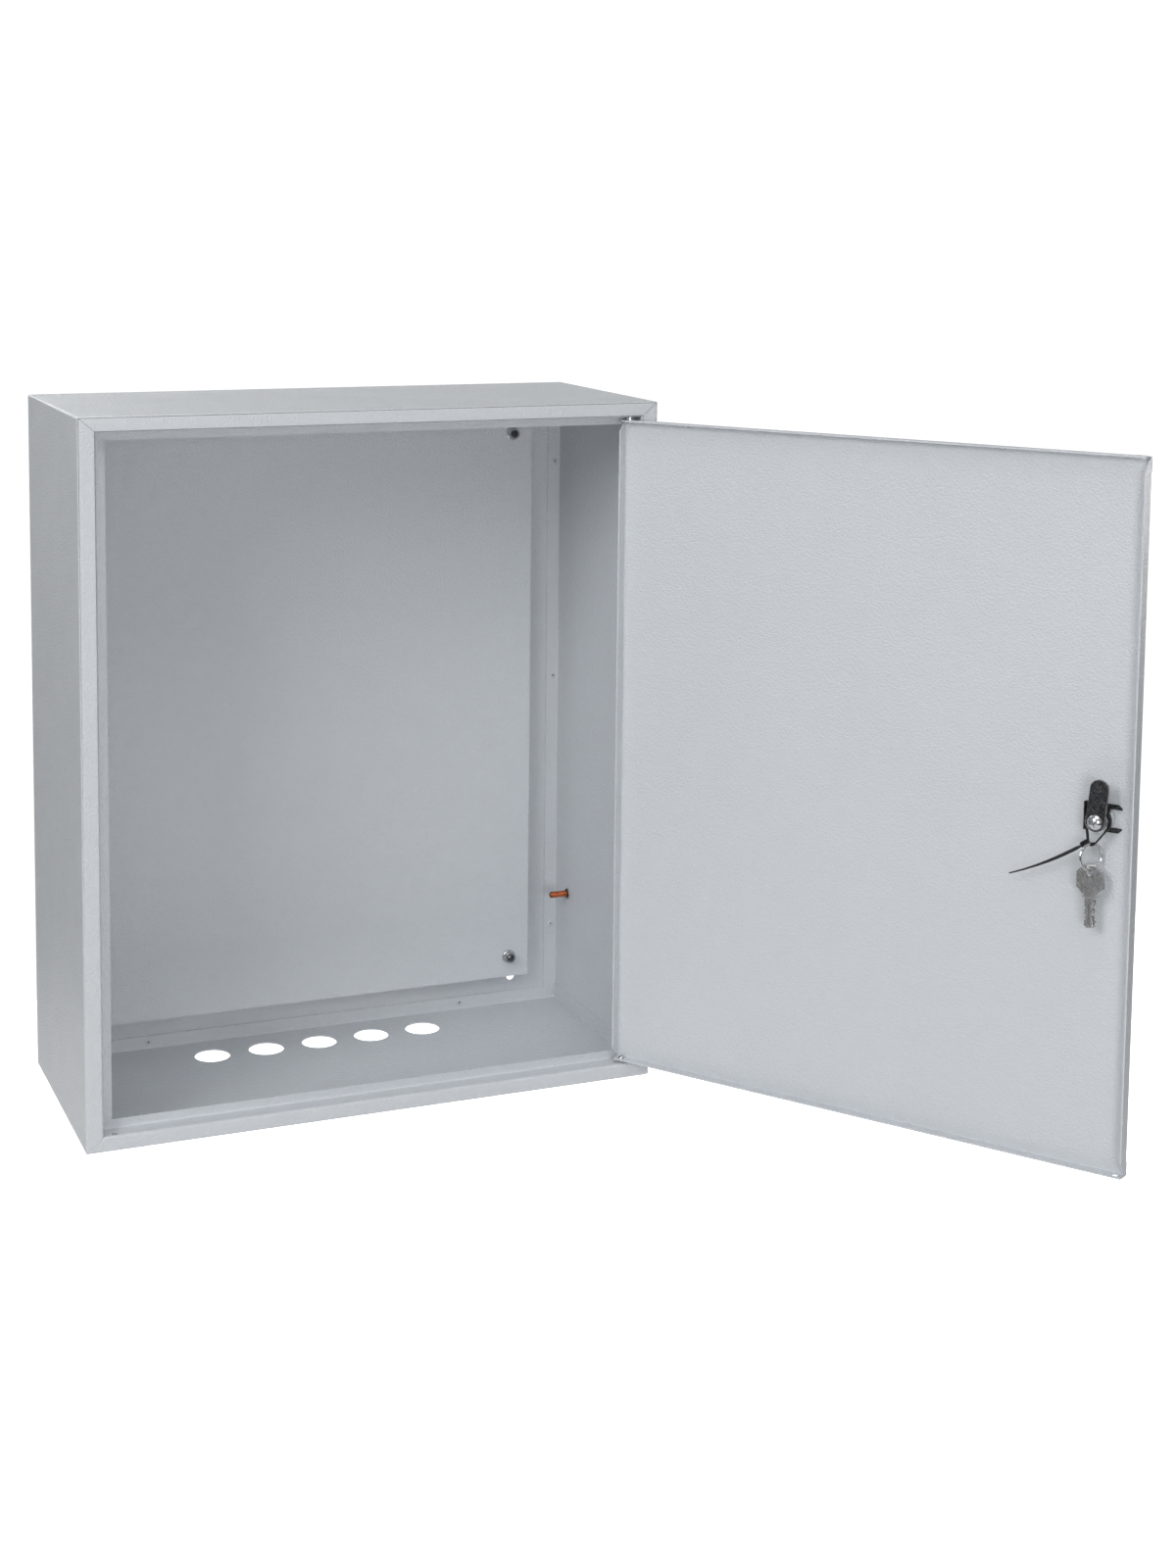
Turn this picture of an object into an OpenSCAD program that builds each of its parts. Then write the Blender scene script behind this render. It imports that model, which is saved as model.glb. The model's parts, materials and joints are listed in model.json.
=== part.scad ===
// Wall-mounted sheet-steel distribution enclosure with a mounting plate,
// a hinged door, a quarter-turn cam lock and its keys.
// Millimetres. X runs across the cabinet, Y from front to back, Z up.
// The origin is the middle of the four wall-fixing holes, on the back face.

/* [Cabinet] */
// Overall width
cab_w = 500; // [400:10:800]
// Overall height
cab_h = 600; // [450:10:1000]
// Overall depth, closed, without the lock head
cab_d = 220; // [150:10:350]
// Thickness of the folded steel sheet
sheet_t = 1.2; // [1:0.1:1.5]
// Radius at the middle of the sheet in a cabinet bend
bend_r = 1.8; // [1.2:0.1:2.4]

/* [Front frame] */
// Width of the frame's face along the two sides
side_rail = 15; // [13:0.5:22]
// Width of the frame's face along the top and bottom
end_rail = 13; // [12:0.5:20]
// Depth of the recess that the door closes into
recess_d = 17; // [16:0.5:25]
// Width of the inner lip along the two sides
side_lip = 10; // [6:0.5:14]
// Width of the inner lip along the top and bottom
end_lip = 7.5; // [5:0.5:12]
// Width of the flange round the back
back_flange = 13; // [11:0.5:20]
// Gap left in the mitred corners
mitre_gap = 0.3; // [0.1:0.1:0.6]

/* [Back panel] */
// Distance from a cabinet side to the wall-fixing holes
wall_hole_side = 47; // [30:1:70]
// Distance from the top and bottom to the wall-fixing holes
wall_hole_end = 27; // [20:1:60]
// Diameter of the wall-fixing holes
wall_hole_d = 8; // [5:0.5:10]
// Diameter of the rivets round the back flange
rivet_d = 3.2; // [2.4:0.2:4]
// Diameter of a rivet's head
rivet_head_d = 6; // [5:0.2:7]
// Height of the middle rivets above the cabinet's middle
rivet_mid_rise = 19; // [-30:1:30]
// Distance from the top and bottom to the nearest side rivets
rivet_side_in = 75; // [50:1:150]
// Distance from a cabinet side to the top and bottom rivets
rivet_end_in = 100; // [60:1:170]

/* [Floor panel] */
// Number of cable entries
entry_count = 5; // [1:1:6]
// Diameter of a cable entry
entry_d = 32; // [16:1:40]
// Distance between the entries' middles
entry_pitch = 50; // [45:1:60]
// Distance from the back face to the entries' middles
entry_back = 40; // [35:1:70]
// Height of the floor's upturned side tabs
tab_h = 15; // [10:1:25]

/* [Mounting plate] */
// Gap between the plate and each cabinet side
plate_side = 35; // [20:1:60]
// Gap between the plate and the cabinet's bottom
plate_below = 32; // [25:0.5:60]
// Gap between the plate and the cabinet's top
plate_above = 26; // [25:0.5:60]
// Thickness of the plate
plate_t = 1.5; // [1:0.1:3]
// Length of the spacer sleeves behind the plate
spacer_len = 13; // [8:0.5:30]
// Outer diameter of the spacer sleeves
spacer_d = 11; // [9:0.5:14]
// Diameter of the fixing studs
stud_d = 6; // [5:1:8]
// Distance from the plate's edges to the studs
stud_in = 20; // [15:0.5:30]
// Across flats of the plate nuts
nut_af = 10; // [8:0.5:13]
// Height of the plate nuts, with their flange
nut_h = 5.5; // [4:0.5:7]
// Stud standing out past the nut
stud_out = 2.5; // [1:0.5:6]

/* [Earth stud] */
// Diameter of the copper-plated earth stud
earth_d = 6; // [5:1:8]
// Length of the earth stud from the wall
earth_len = 18.5; // [12:0.5:30]
// Distance from the back face to the earth stud
earth_back = 33.5; // [25:0.5:60]
// Height of the earth stud above the cabinet's bottom
earth_up = 113; // [60:1:200]
// Diameter of the washer at the stud's foot
earth_washer_d = 10.5; // [9.5:0.5:16]

/* [Door] */
// Angle that the door stands open
door_open = 125; // [0:1:126]
// Gap beside the door
door_gap_side = 2; // [1.5:0.1:3]
// Gap above and below the door
door_gap_end = 3; // [2.5:0.1:4]
// Depth of the door's flanges at the hinge side, top and bottom
door_flange = 10; // [9:0.5:12]
// Depth of the door's flange at the free side
free_flange = 14; // [10:0.5:15]
// Radius at the middle of the sheet in a door bend
door_bend_r = 1.2; // [0.9:0.1:1.4]

/* [Hinge] */
// Pivot's distance in from the door's hinge edge
pivot_in = 7.3; // [7.3:0.1:9]
// Pivot's distance behind the door's outer face
pivot_deep = 5.2; // [5:0.1:5.6]
// Diameter of the hinge pins
pin_d = 5; // [4:0.5:5.5]
// Diameter of the pins' domed heads
pin_head_d = 6.8; // [6:0.1:7]
// Thickness of one hinge washer
hinge_washer_t = 1.2; // [0.8:0.1:1.4]

/* [Lock] */
// Lock axis's distance in from the door's free edge
lock_in = 28; // [24:0.5:40]
// Diameter of the lock barrel
barrel_d = 18; // [16:0.5:20]
// Across the barrel's two flats
barrel_flat = 16; // [14:0.5:17]
// Diameter of the turning plug
plug_d = 12; // [10:0.5:12]
// Diameter of the lock's outer head
lock_head_d = 22; // [21:0.5:26]
// Thickness of the lock's outer head
lock_head_t = 2.5; // [1.5:0.5:4]
// Lock axis to the tip of the cam
cam_reach = 34; // [30:1:38]
// Width of the cam
cam_w = 15; // [13:0.5:18]
// Thickness of the cam
cam_t = 2.5; // [2:0.1:3]
// Lean of the open cam from the vertical, towards the free edge
cam_lean = 6; // [0:1:10]
// Diameter of the cam screw's head
screw_head_d = 12; // [9:0.5:13]
// Number of wafers in the plug
wafer_count = 5; // [3:1:5]

/* [Tie and keys] */
// Width of the cable tie
tie_w = 3.6; // [2.5:0.1:4.8]
// Thickness of the cable tie
tie_t = 1.1; // [0.8:0.1:1.4]
// Length of the tie's free tail
tail_len = 70; // [30:1:90]
// Outer diameter of the key ring
ring_d = 23; // [20:0.5:26]
// Turn of the ring about the vertical, out of square with the door
ring_turn = 13; // [0:1:15]
// Diameter of the ring's wire
ring_wire = 1.6; // [1.2:0.1:2]
// Width of a key's bow
bow_w = 21.5; // [18:0.5:26]
// Height of a key's bow
bow_h = 25; // [22:0.5:28]
// Length of a key's blade
blade_len = 25.5; // [20:0.5:30]
// Width of a key's blade
blade_w = 7.5; // [6:0.5:8]
// Thickness of a key
key_t = 2; // [1.6:0.1:2.4]

/* [Hidden] */
$fn = 48;

steel_grey = [0.75, 0.77, 0.79];
zinc = [0.72, 0.73, 0.74];
copper = [0.72, 0.33, 0.16];
dark_steel = [0.23, 0.24, 0.26];
chrome = [0.85, 0.86, 0.88];
nylon_black = [0.05, 0.05, 0.06];
nickel = [0.66, 0.67, 0.68];

// Small clearances and steps
touch = 0.05;          // between pieces fixed to each other
slip = 0.3;            // between pieces that only pass each other
run_fit = 0.04;        // radial play where something turns
eps = 0.01;            // overlap of solids that are one piece
bend_steps = 8;        // flat steps in one bend

// Cabinet
half_w = cab_w / 2;
half_h = cab_h / 2;
wall_mid_back = -sheet_t - touch - sheet_t / 2;
recess_y = -cab_d + recess_d;

// Door, closed
door_w = cab_w - 2 * (side_rail + door_gap_side);
door_h = cab_h - 2 * (end_rail + door_gap_end);
hinge_edge_x = door_w / 2;
pivot_x = hinge_edge_x - pivot_in;
pivot_y = -cab_d + pivot_deep;

// Mounting plate
plate_w = cab_w - 2 * plate_side;
plate_h = cab_h - plate_below - plate_above;
plate_mid_z = (plate_below - plate_above) / 2;
plate_back_y = -sheet_t - spacer_len - touch;
washer_t = 1.2;
washer_rim = 1.3;
washer_d = nut_af + 2 * washer_rim;
nut_seat_y = plate_back_y - plate_t - washer_t - 2 * touch;
stud_x = plate_w / 2 - stud_in;
stud_z = plate_h / 2 - stud_in;
stud_end_y = nut_seat_y - nut_h - stud_out;

// Rivets, on the middle of the back flange
rivet_side_x = half_w - back_flange / 2;
rivet_end_z = half_h - back_flange / 2 - 1;
rivet_head_h = 1.3;
rivet_side_zs = [-half_h + rivet_side_in, rivet_mid_rise, half_h - rivet_side_in];
rivet_end_xs = [-half_w + rivet_end_in, half_w - rivet_end_in];

// Hinges, at the top; the bottom ones are mirrored
flange_in_z = door_h / 2 - sheet_t;
clip_gap_z = half_h - end_rail + sheet_t + slip;
clip_d = 2 * (pivot_deep - sheet_t - 0.5);
pin_head_h = 2.4;

// Lock
lock_x = -door_w / 2 + lock_in;
barrel_end = recess_d + sheet_t + 0.5;
clip_t = 1;
clip_prong = 4;
clip_groove = barrel_flat - 1.6;
clip_from = sheet_t + touch;
cam_from = barrel_end + slip;
stub_sq = 8;
screw_d = 4;
cam_washer_t = 0.8;
cam_washer_y = cam_from + cam_t + touch;
screw_head_h = 3;
plug_face = 1.2;
wafer_t = 1;
wafer_w = 5;
wafer_pitch = 2.6;
wafer_first = 2;
keyway_w = 2.5;
keyway_h = 8.5;

// Tie, ring and keys, in the door's plane about the lock axis.
// tie_drop and tie_side place the loop's small bottom bend.
tie_depth = ring_d / 2 + sheet_t + 0.6;
tie_bore = 2.4;
tie_drop = barrel_d / 2 + 8.5;
tie_side = 4.7;
loop_r = barrel_d / 2 + slip + tie_t / 2;
bend_mid_r = tie_bore + tie_t / 2;
loop_dir = atan2(-tie_drop, tie_side);
loop_span = norm([tie_side, tie_drop]);
ring_mid_r = (ring_d - ring_wire) / 2;
ring_hang_z = -tie_drop - tie_bore + ring_wire / 2 + slip;
ring_mid_z = ring_hang_z - ring_mid_r;
key_hole_d = 5;
key_hang_z = ring_mid_z - ring_mid_r;
key_hole_drop = key_hole_d / 2 - ring_wire / 2 - slip;
key_gap = 0.3;

// ---------- helpers ----------

function unit(v) = v / norm(v);
function left_of(v) = [-v[1], v[0]];
function spin(v, a) = [v[0] * cos(a) - v[1] * sin(a), v[0] * sin(a) + v[1] * cos(a)];

// One face of a bend: the corner a-b-c rounded, off to the left of the path
function bend_face(a, b, c, r, off) =
    let (
        u = unit(b - a),
        v = unit(c - b),
        side = u[0] * v[1] - u[1] * v[0] > 0 ? 1 : -1,
        turn = acos(u * v),
        centre = b - u * r * tan(turn / 2) + left_of(u) * side * r
    )
    [for (i = [0:bend_steps])
        centre + spin(left_of(u) * -side, side * turn * i / bend_steps) * (r - side * off)];

// One face of a whole folded strip
function strip_face(path, r, off) =
    let (last = len(path) - 1)
    concat(
        [path[0] + left_of(unit(path[1] - path[0])) * off],
        [for (i = [1:last - 1]) each bend_face(path[i - 1], path[i], path[i + 1], r, off)],
        [path[last] + left_of(unit(path[last] - path[last - 1])) * off]
    );

function reversed(list) = [for (i = [len(list) - 1:-1:0]) list[i]];

// Section of a sheet of thickness t folded along a path
module strip(path, t, r) {
    polygon(concat(strip_face(path, r, t / 2), reversed(strip_face(path, r, -t / 2))));
}

// Rectangle with rounded corners, centred
function round_rect(w, h, r) =
    [for (k = [0:3]) each
        let (cx = (k == 0 || k == 3 ? 1 : -1) * (w / 2 - r), cy = (k < 2 ? 1 : -1) * (h / 2 - r))
        [for (i = [0:bend_steps])
            [cx, cy] + r * [cos(90 * k + 90 * i / bend_steps), sin(90 * k + 90 * i / bend_steps)]]];

// Stands a 2D shape in X and Z, thick along Y from y0 to y1
module upright(y0, y1) {
    translate([0, y1, 0]) rotate([90, 0, 0]) linear_extrude(y1 - y0) children();
}

// A rod along Y from y0 to y1
module rod_y(x, z, d, y0, y1) {
    translate([x, y1, z]) rotate([90, 0, 0]) cylinder(d = d, h = y1 - y0);
}

// The ball whose cap of height h has diameter d, with the cap's top at height h
module dome(d, h) {
    ball_r = (d * d / 4 + h * h) / (2 * h);
    translate([0, 0, h - ball_r]) sphere(r = ball_r);
}

// Places what is drawn for the closed door at the door's opening
module on_door() {
    translate([pivot_x, pivot_y, 0]) rotate([0, 0, door_open])
        translate([-pivot_x, -pivot_y, 0]) children();
}

// Lock frame: origin on the lock axis at the door's outer face,
// X towards the hinge, Y into the cabinet, Z up
module at_lock() {
    on_door() translate([lock_x, -cab_d, 0]) children();
}

module copy_mirror(v) {
    children();
    mirror(v) children();
}

module each_stud() {
    for (sx = [-1, 1], sz = [-1, 1])
        translate([sx * stud_x, 0, plate_mid_z + sz * stud_z]) children();
}

module each_rivet() {
    for (sx = [-1, 1], z = rivet_side_zs)
        translate([sx * rivet_side_x, 0, z]) children();
    for (sz = [-1, 1], x = rivet_end_xs)
        translate([x, 0, sz * rivet_end_z]) children();
}

// ---------- cabinet ----------

// One side of the cabinet, lying on its outer face: back flange, wall,
// frame face, recess wall and inner lip, with mitred ends
module member(len, rail, lip, other_rail, gap) {
    path = [
        [wall_mid_back, back_flange],
        [wall_mid_back, sheet_t / 2],
        [-cab_d + sheet_t / 2, sheet_t / 2],
        [-cab_d + sheet_t / 2, rail - sheet_t / 2],
        [recess_y + sheet_t / 2, rail - sheet_t / 2],
        [recess_y + sheet_t / 2, rail + lip]
    ];
    reach = rail + lip + back_flange;
    lean = other_rail / rail;
    intersection() {
        translate([-len / 2, 0, 0]) rotate([90, 0, 90]) linear_extrude(len)
            strip(path, sheet_t, bend_r);
        upright(-cab_d - 1, 1) polygon([
            [-len / 2 + gap, 0], [len / 2 - gap, 0],
            [len / 2 - gap - reach * lean, reach], [-len / 2 + gap + reach * lean, reach]
        ]);
    }
}

module rivet_holes() {
    each_rivet() rod_y(0, 0, rivet_d + 2 * touch, -3 * sheet_t, 1);
}

// Pivot holes through the top and bottom of the recess, at both sides,
// so that the door can be hung either way
module frame_pivot_holes() {
    copy_mirror([1, 0, 0]) copy_mirror([0, 0, 1])
        translate([pivot_x, pivot_y, half_h - end_rail - 1])
            cylinder(d = pin_d + 2 * run_fit, h = sheet_t + 2);
}

// Lines of the two welded mitres at the top of the frame's face
module mitre_lines() {
    half_gap = mitre_gap * 0.6;
    copy_mirror([1, 0, 0]) upright(-cab_d - 1, -cab_d + sheet_t / 3) polygon([
        [half_w + 1, half_h + 1 - half_gap], [half_w + 1, half_h + 1 + half_gap],
        [half_w - side_rail, half_h - end_rail + half_gap],
        [half_w - side_rail, half_h - end_rail - half_gap]
    ]);
}

// The three folded sides run into each other by a hair at the mitres, so
// that they weld into one sheet
module shell_wrap() {
    color(steel_grey) difference() {
        intersection() {
            union() {
                translate([0, 0, half_h]) mirror([0, 0, 1])
                    member(cab_w, end_rail, end_lip, side_rail, -touch);
                copy_mirror([1, 0, 0]) translate([half_w, 0, 0]) rotate([0, -90, 0])
                    member(cab_h, side_rail, side_lip, end_rail, -touch);
            }
            upright(-cab_d - 1, 1) polygon(round_rect(cab_w, cab_h, bend_r + sheet_t / 2));
        }
        mitre_lines();
        rivet_holes();
        frame_pivot_holes();
        earth_hole();
    }
}

module earth_hole() {
    translate([half_w - sheet_t - 1, -earth_back, -half_h + earth_up]) rotate([0, 90, 0])
        cylinder(d = earth_d - 1, h = sheet_t + 2);
}

module entry_holes() {
    for (i = [0:entry_count - 1])
        translate([(i - (entry_count - 1) / 2) * entry_pitch, -entry_back, -half_h - 1])
            cylinder(d = entry_d, h = sheet_t + 2, $fn = 96);
}

module floor_panel() {
    tab_x = half_w - sheet_t - touch;
    color(steel_grey) difference() {
        intersection() {
            union() {
                translate([0, 0, -half_h]) member(cab_w, end_rail, end_lip, side_rail, mitre_gap);
                copy_mirror([1, 0, 0])
                    translate([tab_x - sheet_t, recess_y + 2 * sheet_t, -half_h + sheet_t / 2])
                        cube([sheet_t, cab_d - recess_d - 6 * sheet_t, tab_h]);
            }
            upright(-cab_d - 1, 1) polygon(round_rect(cab_w, cab_h, bend_r + sheet_t / 2));
        }
        rivet_holes();
        frame_pivot_holes();
        entry_holes();
    }
}

module back_panel() {
    inset = bend_r + sheet_t / 2;
    color(steel_grey) difference() {
        upright(-sheet_t, 0) polygon(round_rect(cab_w - 2 * inset, cab_h - 2 * inset, 2));
        for (sx = [-1, 1], sz = [-1, 1])
            rod_y(sx * (half_w - wall_hole_side), sz * (half_h - wall_hole_end),
                wall_hole_d, -sheet_t - 1, 1);
        each_rivet() rod_y(0, 0, rivet_d + 2 * touch, -sheet_t - 1, 1);
    }
}

module frame_rivets() {
    seat_y = -2 * sheet_t - 2 * touch;
    color(steel_grey) each_rivet() {
        rod_y(0, 0, rivet_d, seat_y - eps, -touch);
        translate([0, seat_y, 0]) rotate([90, 0, 0]) intersection() {
            cylinder(d = rivet_head_d, h = rivet_head_h);
            dome(rivet_head_d, rivet_head_h);
        }
    }
}

// ---------- mounting plate ----------

module mounting_plate() {
    color(steel_grey) difference() {
        translate([0, 0, plate_mid_z]) upright(plate_back_y - plate_t, plate_back_y)
            polygon(round_rect(plate_w, plate_h, 1));
        each_stud() rod_y(0, 0, stud_d + 2 * slip, plate_back_y - plate_t - 1, plate_back_y + 1);
    }
}

module plate_studs() {
    color(zinc) each_stud() {
        rod_y(0, 0, stud_d, stud_end_y + 0.6, -sheet_t - touch);
        translate([0, stud_end_y + 0.6 + eps, 0]) rotate([90, 0, 0])
            cylinder(d1 = stud_d, d2 = stud_d - 1.4, h = 0.6);
    }
}

module plate_spacers() {
    color(zinc) each_stud() difference() {
        rod_y(0, 0, spacer_d, plate_back_y + touch, -sheet_t - touch);
        rod_y(0, 0, stud_d + slip, plate_back_y - 1, 1);
    }
}

module plate_washers() {
    y1 = plate_back_y - plate_t - touch;
    color(zinc) each_stud() difference() {
        rod_y(0, 0, washer_d, y1 - washer_t, y1);
        rod_y(0, 0, stud_d + slip, y1 - washer_t - 1, y1 + 1);
    }
}

module plate_nuts() {
    flange_t = 1.4;
    color(zinc) each_stud() difference() {
        union() {
            rod_y(0, 0, washer_d - 0.4, nut_seat_y - flange_t, nut_seat_y);
            translate([0, nut_seat_y, 0]) rotate([90, 0, 0]) intersection() {
                cylinder(d = nut_af / cos(30), h = nut_h, $fn = 6);
                cylinder(d1 = nut_af / cos(30) + 2 * nut_h, d2 = nut_af * 0.97, h = nut_h);
            }
        }
        rod_y(0, 0, stud_d + 2 * touch, nut_seat_y - nut_h - 1, nut_seat_y + 1);
    }
}

// ---------- earth stud ----------

module earth_stud() {
    wall_x = half_w - sheet_t;
    root = 1.1;
    relief = washer_t + slip;
    tip = 0.8;
    color(copper) translate([wall_x, -earth_back, -half_h + earth_up]) rotate([0, -90, 0]) {
        translate([0, 0, relief]) cylinder(d = earth_d, h = earth_len - tip - relief);
        translate([0, 0, earth_len - tip]) cylinder(d1 = earth_d, d2 = earth_d - 2 * tip - 0.2, h = tip);
        translate([0, 0, -root]) cylinder(d = earth_d - 1 - 2 * touch, h = root + relief + touch);
    }
}

module earth_washer() {
    color(zinc) translate([half_w - sheet_t - touch, -earth_back, -half_h + earth_up])
        rotate([0, -90, 0]) difference() {
            cylinder(d = earth_washer_d, h = washer_t);
            translate([0, 0, -1]) cylinder(d = earth_d + slip, h = washer_t + 2);
        }
}

// ---------- door ----------

// Flange along one edge of the door, with its bend, ends cut back
// by end_cut at the tip and square at the foot
module door_edge(len, depth, end_cut) {
    path = [[-12, sheet_t / 2], [-sheet_t / 2, sheet_t / 2], [-sheet_t / 2, depth]];
    intersection() {
        translate([0, 0, -len / 2]) linear_extrude(len) strip(path, sheet_t, door_bend_r);
        rotate([90, 0, 90]) translate([0, 0, -20]) linear_extrude(40) polygon([
            [0, -len / 2], [door_bend_r, -len / 2], [depth, -len / 2 + end_cut],
            [depth, len / 2 - end_cut], [door_bend_r, len / 2], [0, len / 2]
        ]);
    }
}

// Door flange's pivot holes, at both sides
module door_pivot_holes() {
    copy_mirror([1, 0, 0]) copy_mirror([0, 0, 1])
        translate([pivot_x, pivot_y, door_h / 2 - sheet_t - 1])
            cylinder(d = pin_d + 2 * touch, h = sheet_t + 2);
}

module lock_hole() {
    translate([lock_x, 0, 0]) upright(-cab_d - 1, -cab_d + sheet_t + 1) intersection() {
        circle(d = barrel_d + slip);
        square([barrel_d + 2, barrel_flat + slip], center = true);
    }
}

module door_panel() {
    edge_r = door_bend_r + sheet_t / 2;
    color(steel_grey) on_door() difference() {
        translate([0, -cab_d, 0]) intersection() {
            union() {
                translate([-door_w / 2 + edge_r, 0, -door_h / 2 + edge_r])
                    cube([door_w - 2 * edge_r, sheet_t, door_h - 2 * edge_r]);
                translate([door_w / 2, 0, 0]) door_edge(door_h, door_flange, door_flange);
                mirror([1, 0, 0]) translate([door_w / 2, 0, 0])
                    door_edge(door_h, free_flange, free_flange);
                copy_mirror([0, 0, 1]) translate([0, 0, door_h / 2]) rotate([0, -90, 0])
                    door_edge(door_w, door_flange, door_flange / 5);
            }
            upright(-1, free_flange + 1) polygon(round_rect(door_w, door_h, 1.5));
        }
        door_pivot_holes();
        lock_hole();
    }
}

// ---------- hinges ----------

// Upper hinge pin; the lower one is its mirror image
module hinge_pin() {
    tip_z = clip_gap_z + 2.6;
    translate([pivot_x, pivot_y, 0]) {
        difference() {
            translate([0, 0, flange_in_z - touch]) cylinder(d = pin_d, h = tip_z - flange_in_z + touch);
            translate([0, 0, clip_gap_z]) difference() {
                cylinder(d = clip_d, h = 1);
                translate([0, 0, -1]) cylinder(d = pin_d - 1, h = 3);
            }
        }
        translate([0, 0, flange_in_z - touch]) mirror([0, 0, 1]) intersection() {
            cylinder(d = pin_head_d, h = pin_head_h);
            dome(pin_head_d, pin_head_h);
        }
    }
}

module hinge_pin_top() {
    color(zinc) on_door() hinge_pin();
}

module hinge_pin_bottom() {
    color(zinc) on_door() mirror([0, 0, 1]) hinge_pin();
}

// Washers that carry the door in the gaps above and below it
module hinge_washers() {
    color(zinc) on_door() copy_mirror([0, 0, 1])
        translate([pivot_x, pivot_y, door_h / 2 + touch]) difference() {
            cylinder(d = pin_head_d + 1, h = hinge_washer_t);
            translate([0, 0, -1]) cylinder(d = pin_d + 2 * touch, h = hinge_washer_t + 2);
        }
}

// Retaining clips in the pins' grooves, inside the frame
module hinge_clips() {
    color(dark_steel) on_door() copy_mirror([0, 0, 1])
        translate([pivot_x, pivot_y, clip_gap_z + 0.1]) difference() {
            cylinder(d = clip_d, h = 0.8);
            translate([0, 0, -1]) cylinder(d = pin_d - 1 + 2 * touch, h = 3);
            translate([0, -pin_d / 2 + 0.8, -1]) cube([clip_d, pin_d - 1.6, 3]);
        }
}

// ---------- lock ----------

module lock_barrel() {
    groove_d = clip_t + 2 * touch;
    color(chrome) at_lock() difference() {
        union() {
            upright(0, barrel_end) intersection() {
                circle(d = barrel_d);
                square([barrel_d + 2, barrel_flat], center = true);
            }
            translate([0, -touch, 0]) rotate([90, 0, 0])
                cylinder(d1 = lock_head_d, d2 = lock_head_d - 2, h = lock_head_t - touch);
            rod_y(0, 0, barrel_flat - 1, -2 * touch, 1);
        }
        copy_mirror([0, 0, 1])
            translate([-barrel_d, clip_from - touch, clip_groove / 2])
                cube([2 * barrel_d, groove_d, barrel_d]);
        rod_y(0, 0, plug_d + 2 * run_fit, -lock_head_t - 1, barrel_end + 1);
    }
}

// Spring clip across the barrel's grooves, with a lifted end
module lock_clip() {
    half_len = barrel_d / 2 + 6;
    gap = clip_groove / 2 + touch;
    lift = 4;
    color(dark_steel) at_lock() difference() {
        union() {
            translate([-half_len, clip_from, -gap - clip_prong])
                cube([2 * half_len, clip_t, 2 * (gap + clip_prong)]);
            translate([half_len - clip_t, clip_from, -gap - clip_prong])
                cube([clip_t, lift, 2 * (gap + clip_prong)]);
        }
        translate([-half_len - 1, clip_from - 1, -gap])
            cube([half_len + 1 + barrel_d / 2 + 0.6, clip_t + 2, 2 * gap]);
        copy_mirror([0, 0, 1])
            translate([-half_len, clip_from - 1, gap + clip_prong]) rotate([0, 45, 0])
                translate([-2, 0, -2]) cube([4, clip_t + 2, 4]);
    }
}

module each_wafer() {
    for (i = [0:wafer_count - 1]) translate([0, wafer_first + i * wafer_pitch, 0]) children();
}

module lock_plug() {
    stub_end = cam_from + cam_t + touch;
    color(chrome) at_lock() difference() {
        union() {
            rod_y(0, 0, plug_d, -lock_head_t - plug_face, cam_from - touch);
            rotate([0, -cam_lean, 0]) translate([-stub_sq / 2, cam_from - 2 * touch, -stub_sq / 2])
                cube([stub_sq, stub_end - cam_from, stub_sq]);
        }
        translate([-keyway_w / 2, -lock_head_t - plug_face - 1, -keyway_h / 2])
            cube([keyway_w, lock_head_t + plug_face + 1 + wafer_first + wafer_count * wafer_pitch,
                keyway_h]);
        each_wafer() translate([-wafer_w / 2 - touch, -touch, -plug_d / 2 - 1])
            cube([wafer_w + 2 * touch, wafer_t + 2 * touch, plug_d + 2]);
        rod_y(0, 0, screw_d + 2 * touch, cam_from - 3, stub_end + 1);
    }
}

module lock_wafers() {
    wafer_h = sqrt(plug_d * plug_d - wafer_w * wafer_w) - 0.4;
    color("goldenrod") at_lock() each_wafer() difference() {
        translate([-wafer_w / 2, 0, -wafer_h / 2]) cube([wafer_w, wafer_t, wafer_h]);
        translate([-keyway_w / 2, -1, -keyway_h / 2]) cube([keyway_w, wafer_t + 2, keyway_h]);
    }
}

// Cam: a flat bar with round ends and a square hole
module lock_cam() {
    color(dark_steel) at_lock() rotate([0, -cam_lean, 0]) difference() {
        union() {
            rod_y(0, 0, cam_w, cam_from, cam_from + cam_t);
            rod_y(0, cam_reach - cam_w / 2, cam_w, cam_from, cam_from + cam_t);
            translate([-cam_w / 2, cam_from, 0]) cube([cam_w, cam_t, cam_reach - cam_w / 2]);
        }
        translate([-stub_sq / 2 - touch, cam_from - 1, -stub_sq / 2 - touch])
            cube([stub_sq + 2 * touch, cam_t + 2, stub_sq + 2 * touch]);
    }
}

module cam_washer() {
    color(zinc) at_lock() difference() {
        rod_y(0, 0, screw_head_d + 1.2, cam_washer_y, cam_washer_y + cam_washer_t);
        rod_y(0, 0, screw_d + slip, cam_washer_y - 1, cam_washer_y + cam_washer_t + 1);
    }
}

module cam_screw() {
    head_y = cam_washer_y + cam_washer_t + touch;
    cross = [1.1, 1.6, 6.6];
    color(zinc) at_lock() difference() {
        union() {
            rod_y(0, 0, screw_d, cam_from - 2.5, head_y + eps);
            translate([0, head_y, 0]) rotate([-90, 0, 0]) intersection() {
                cylinder(d = screw_head_d, h = screw_head_h);
                dome(screw_head_d, screw_head_h);
            }
        }
        for (a = [20, 110]) rotate([0, a, 0])
            translate([-cross[0] / 2, head_y + screw_head_h - cross[1], -cross[2] / 2])
                cube([cross[0], cross[1] + 1, cross[2]]);
    }
}

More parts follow.
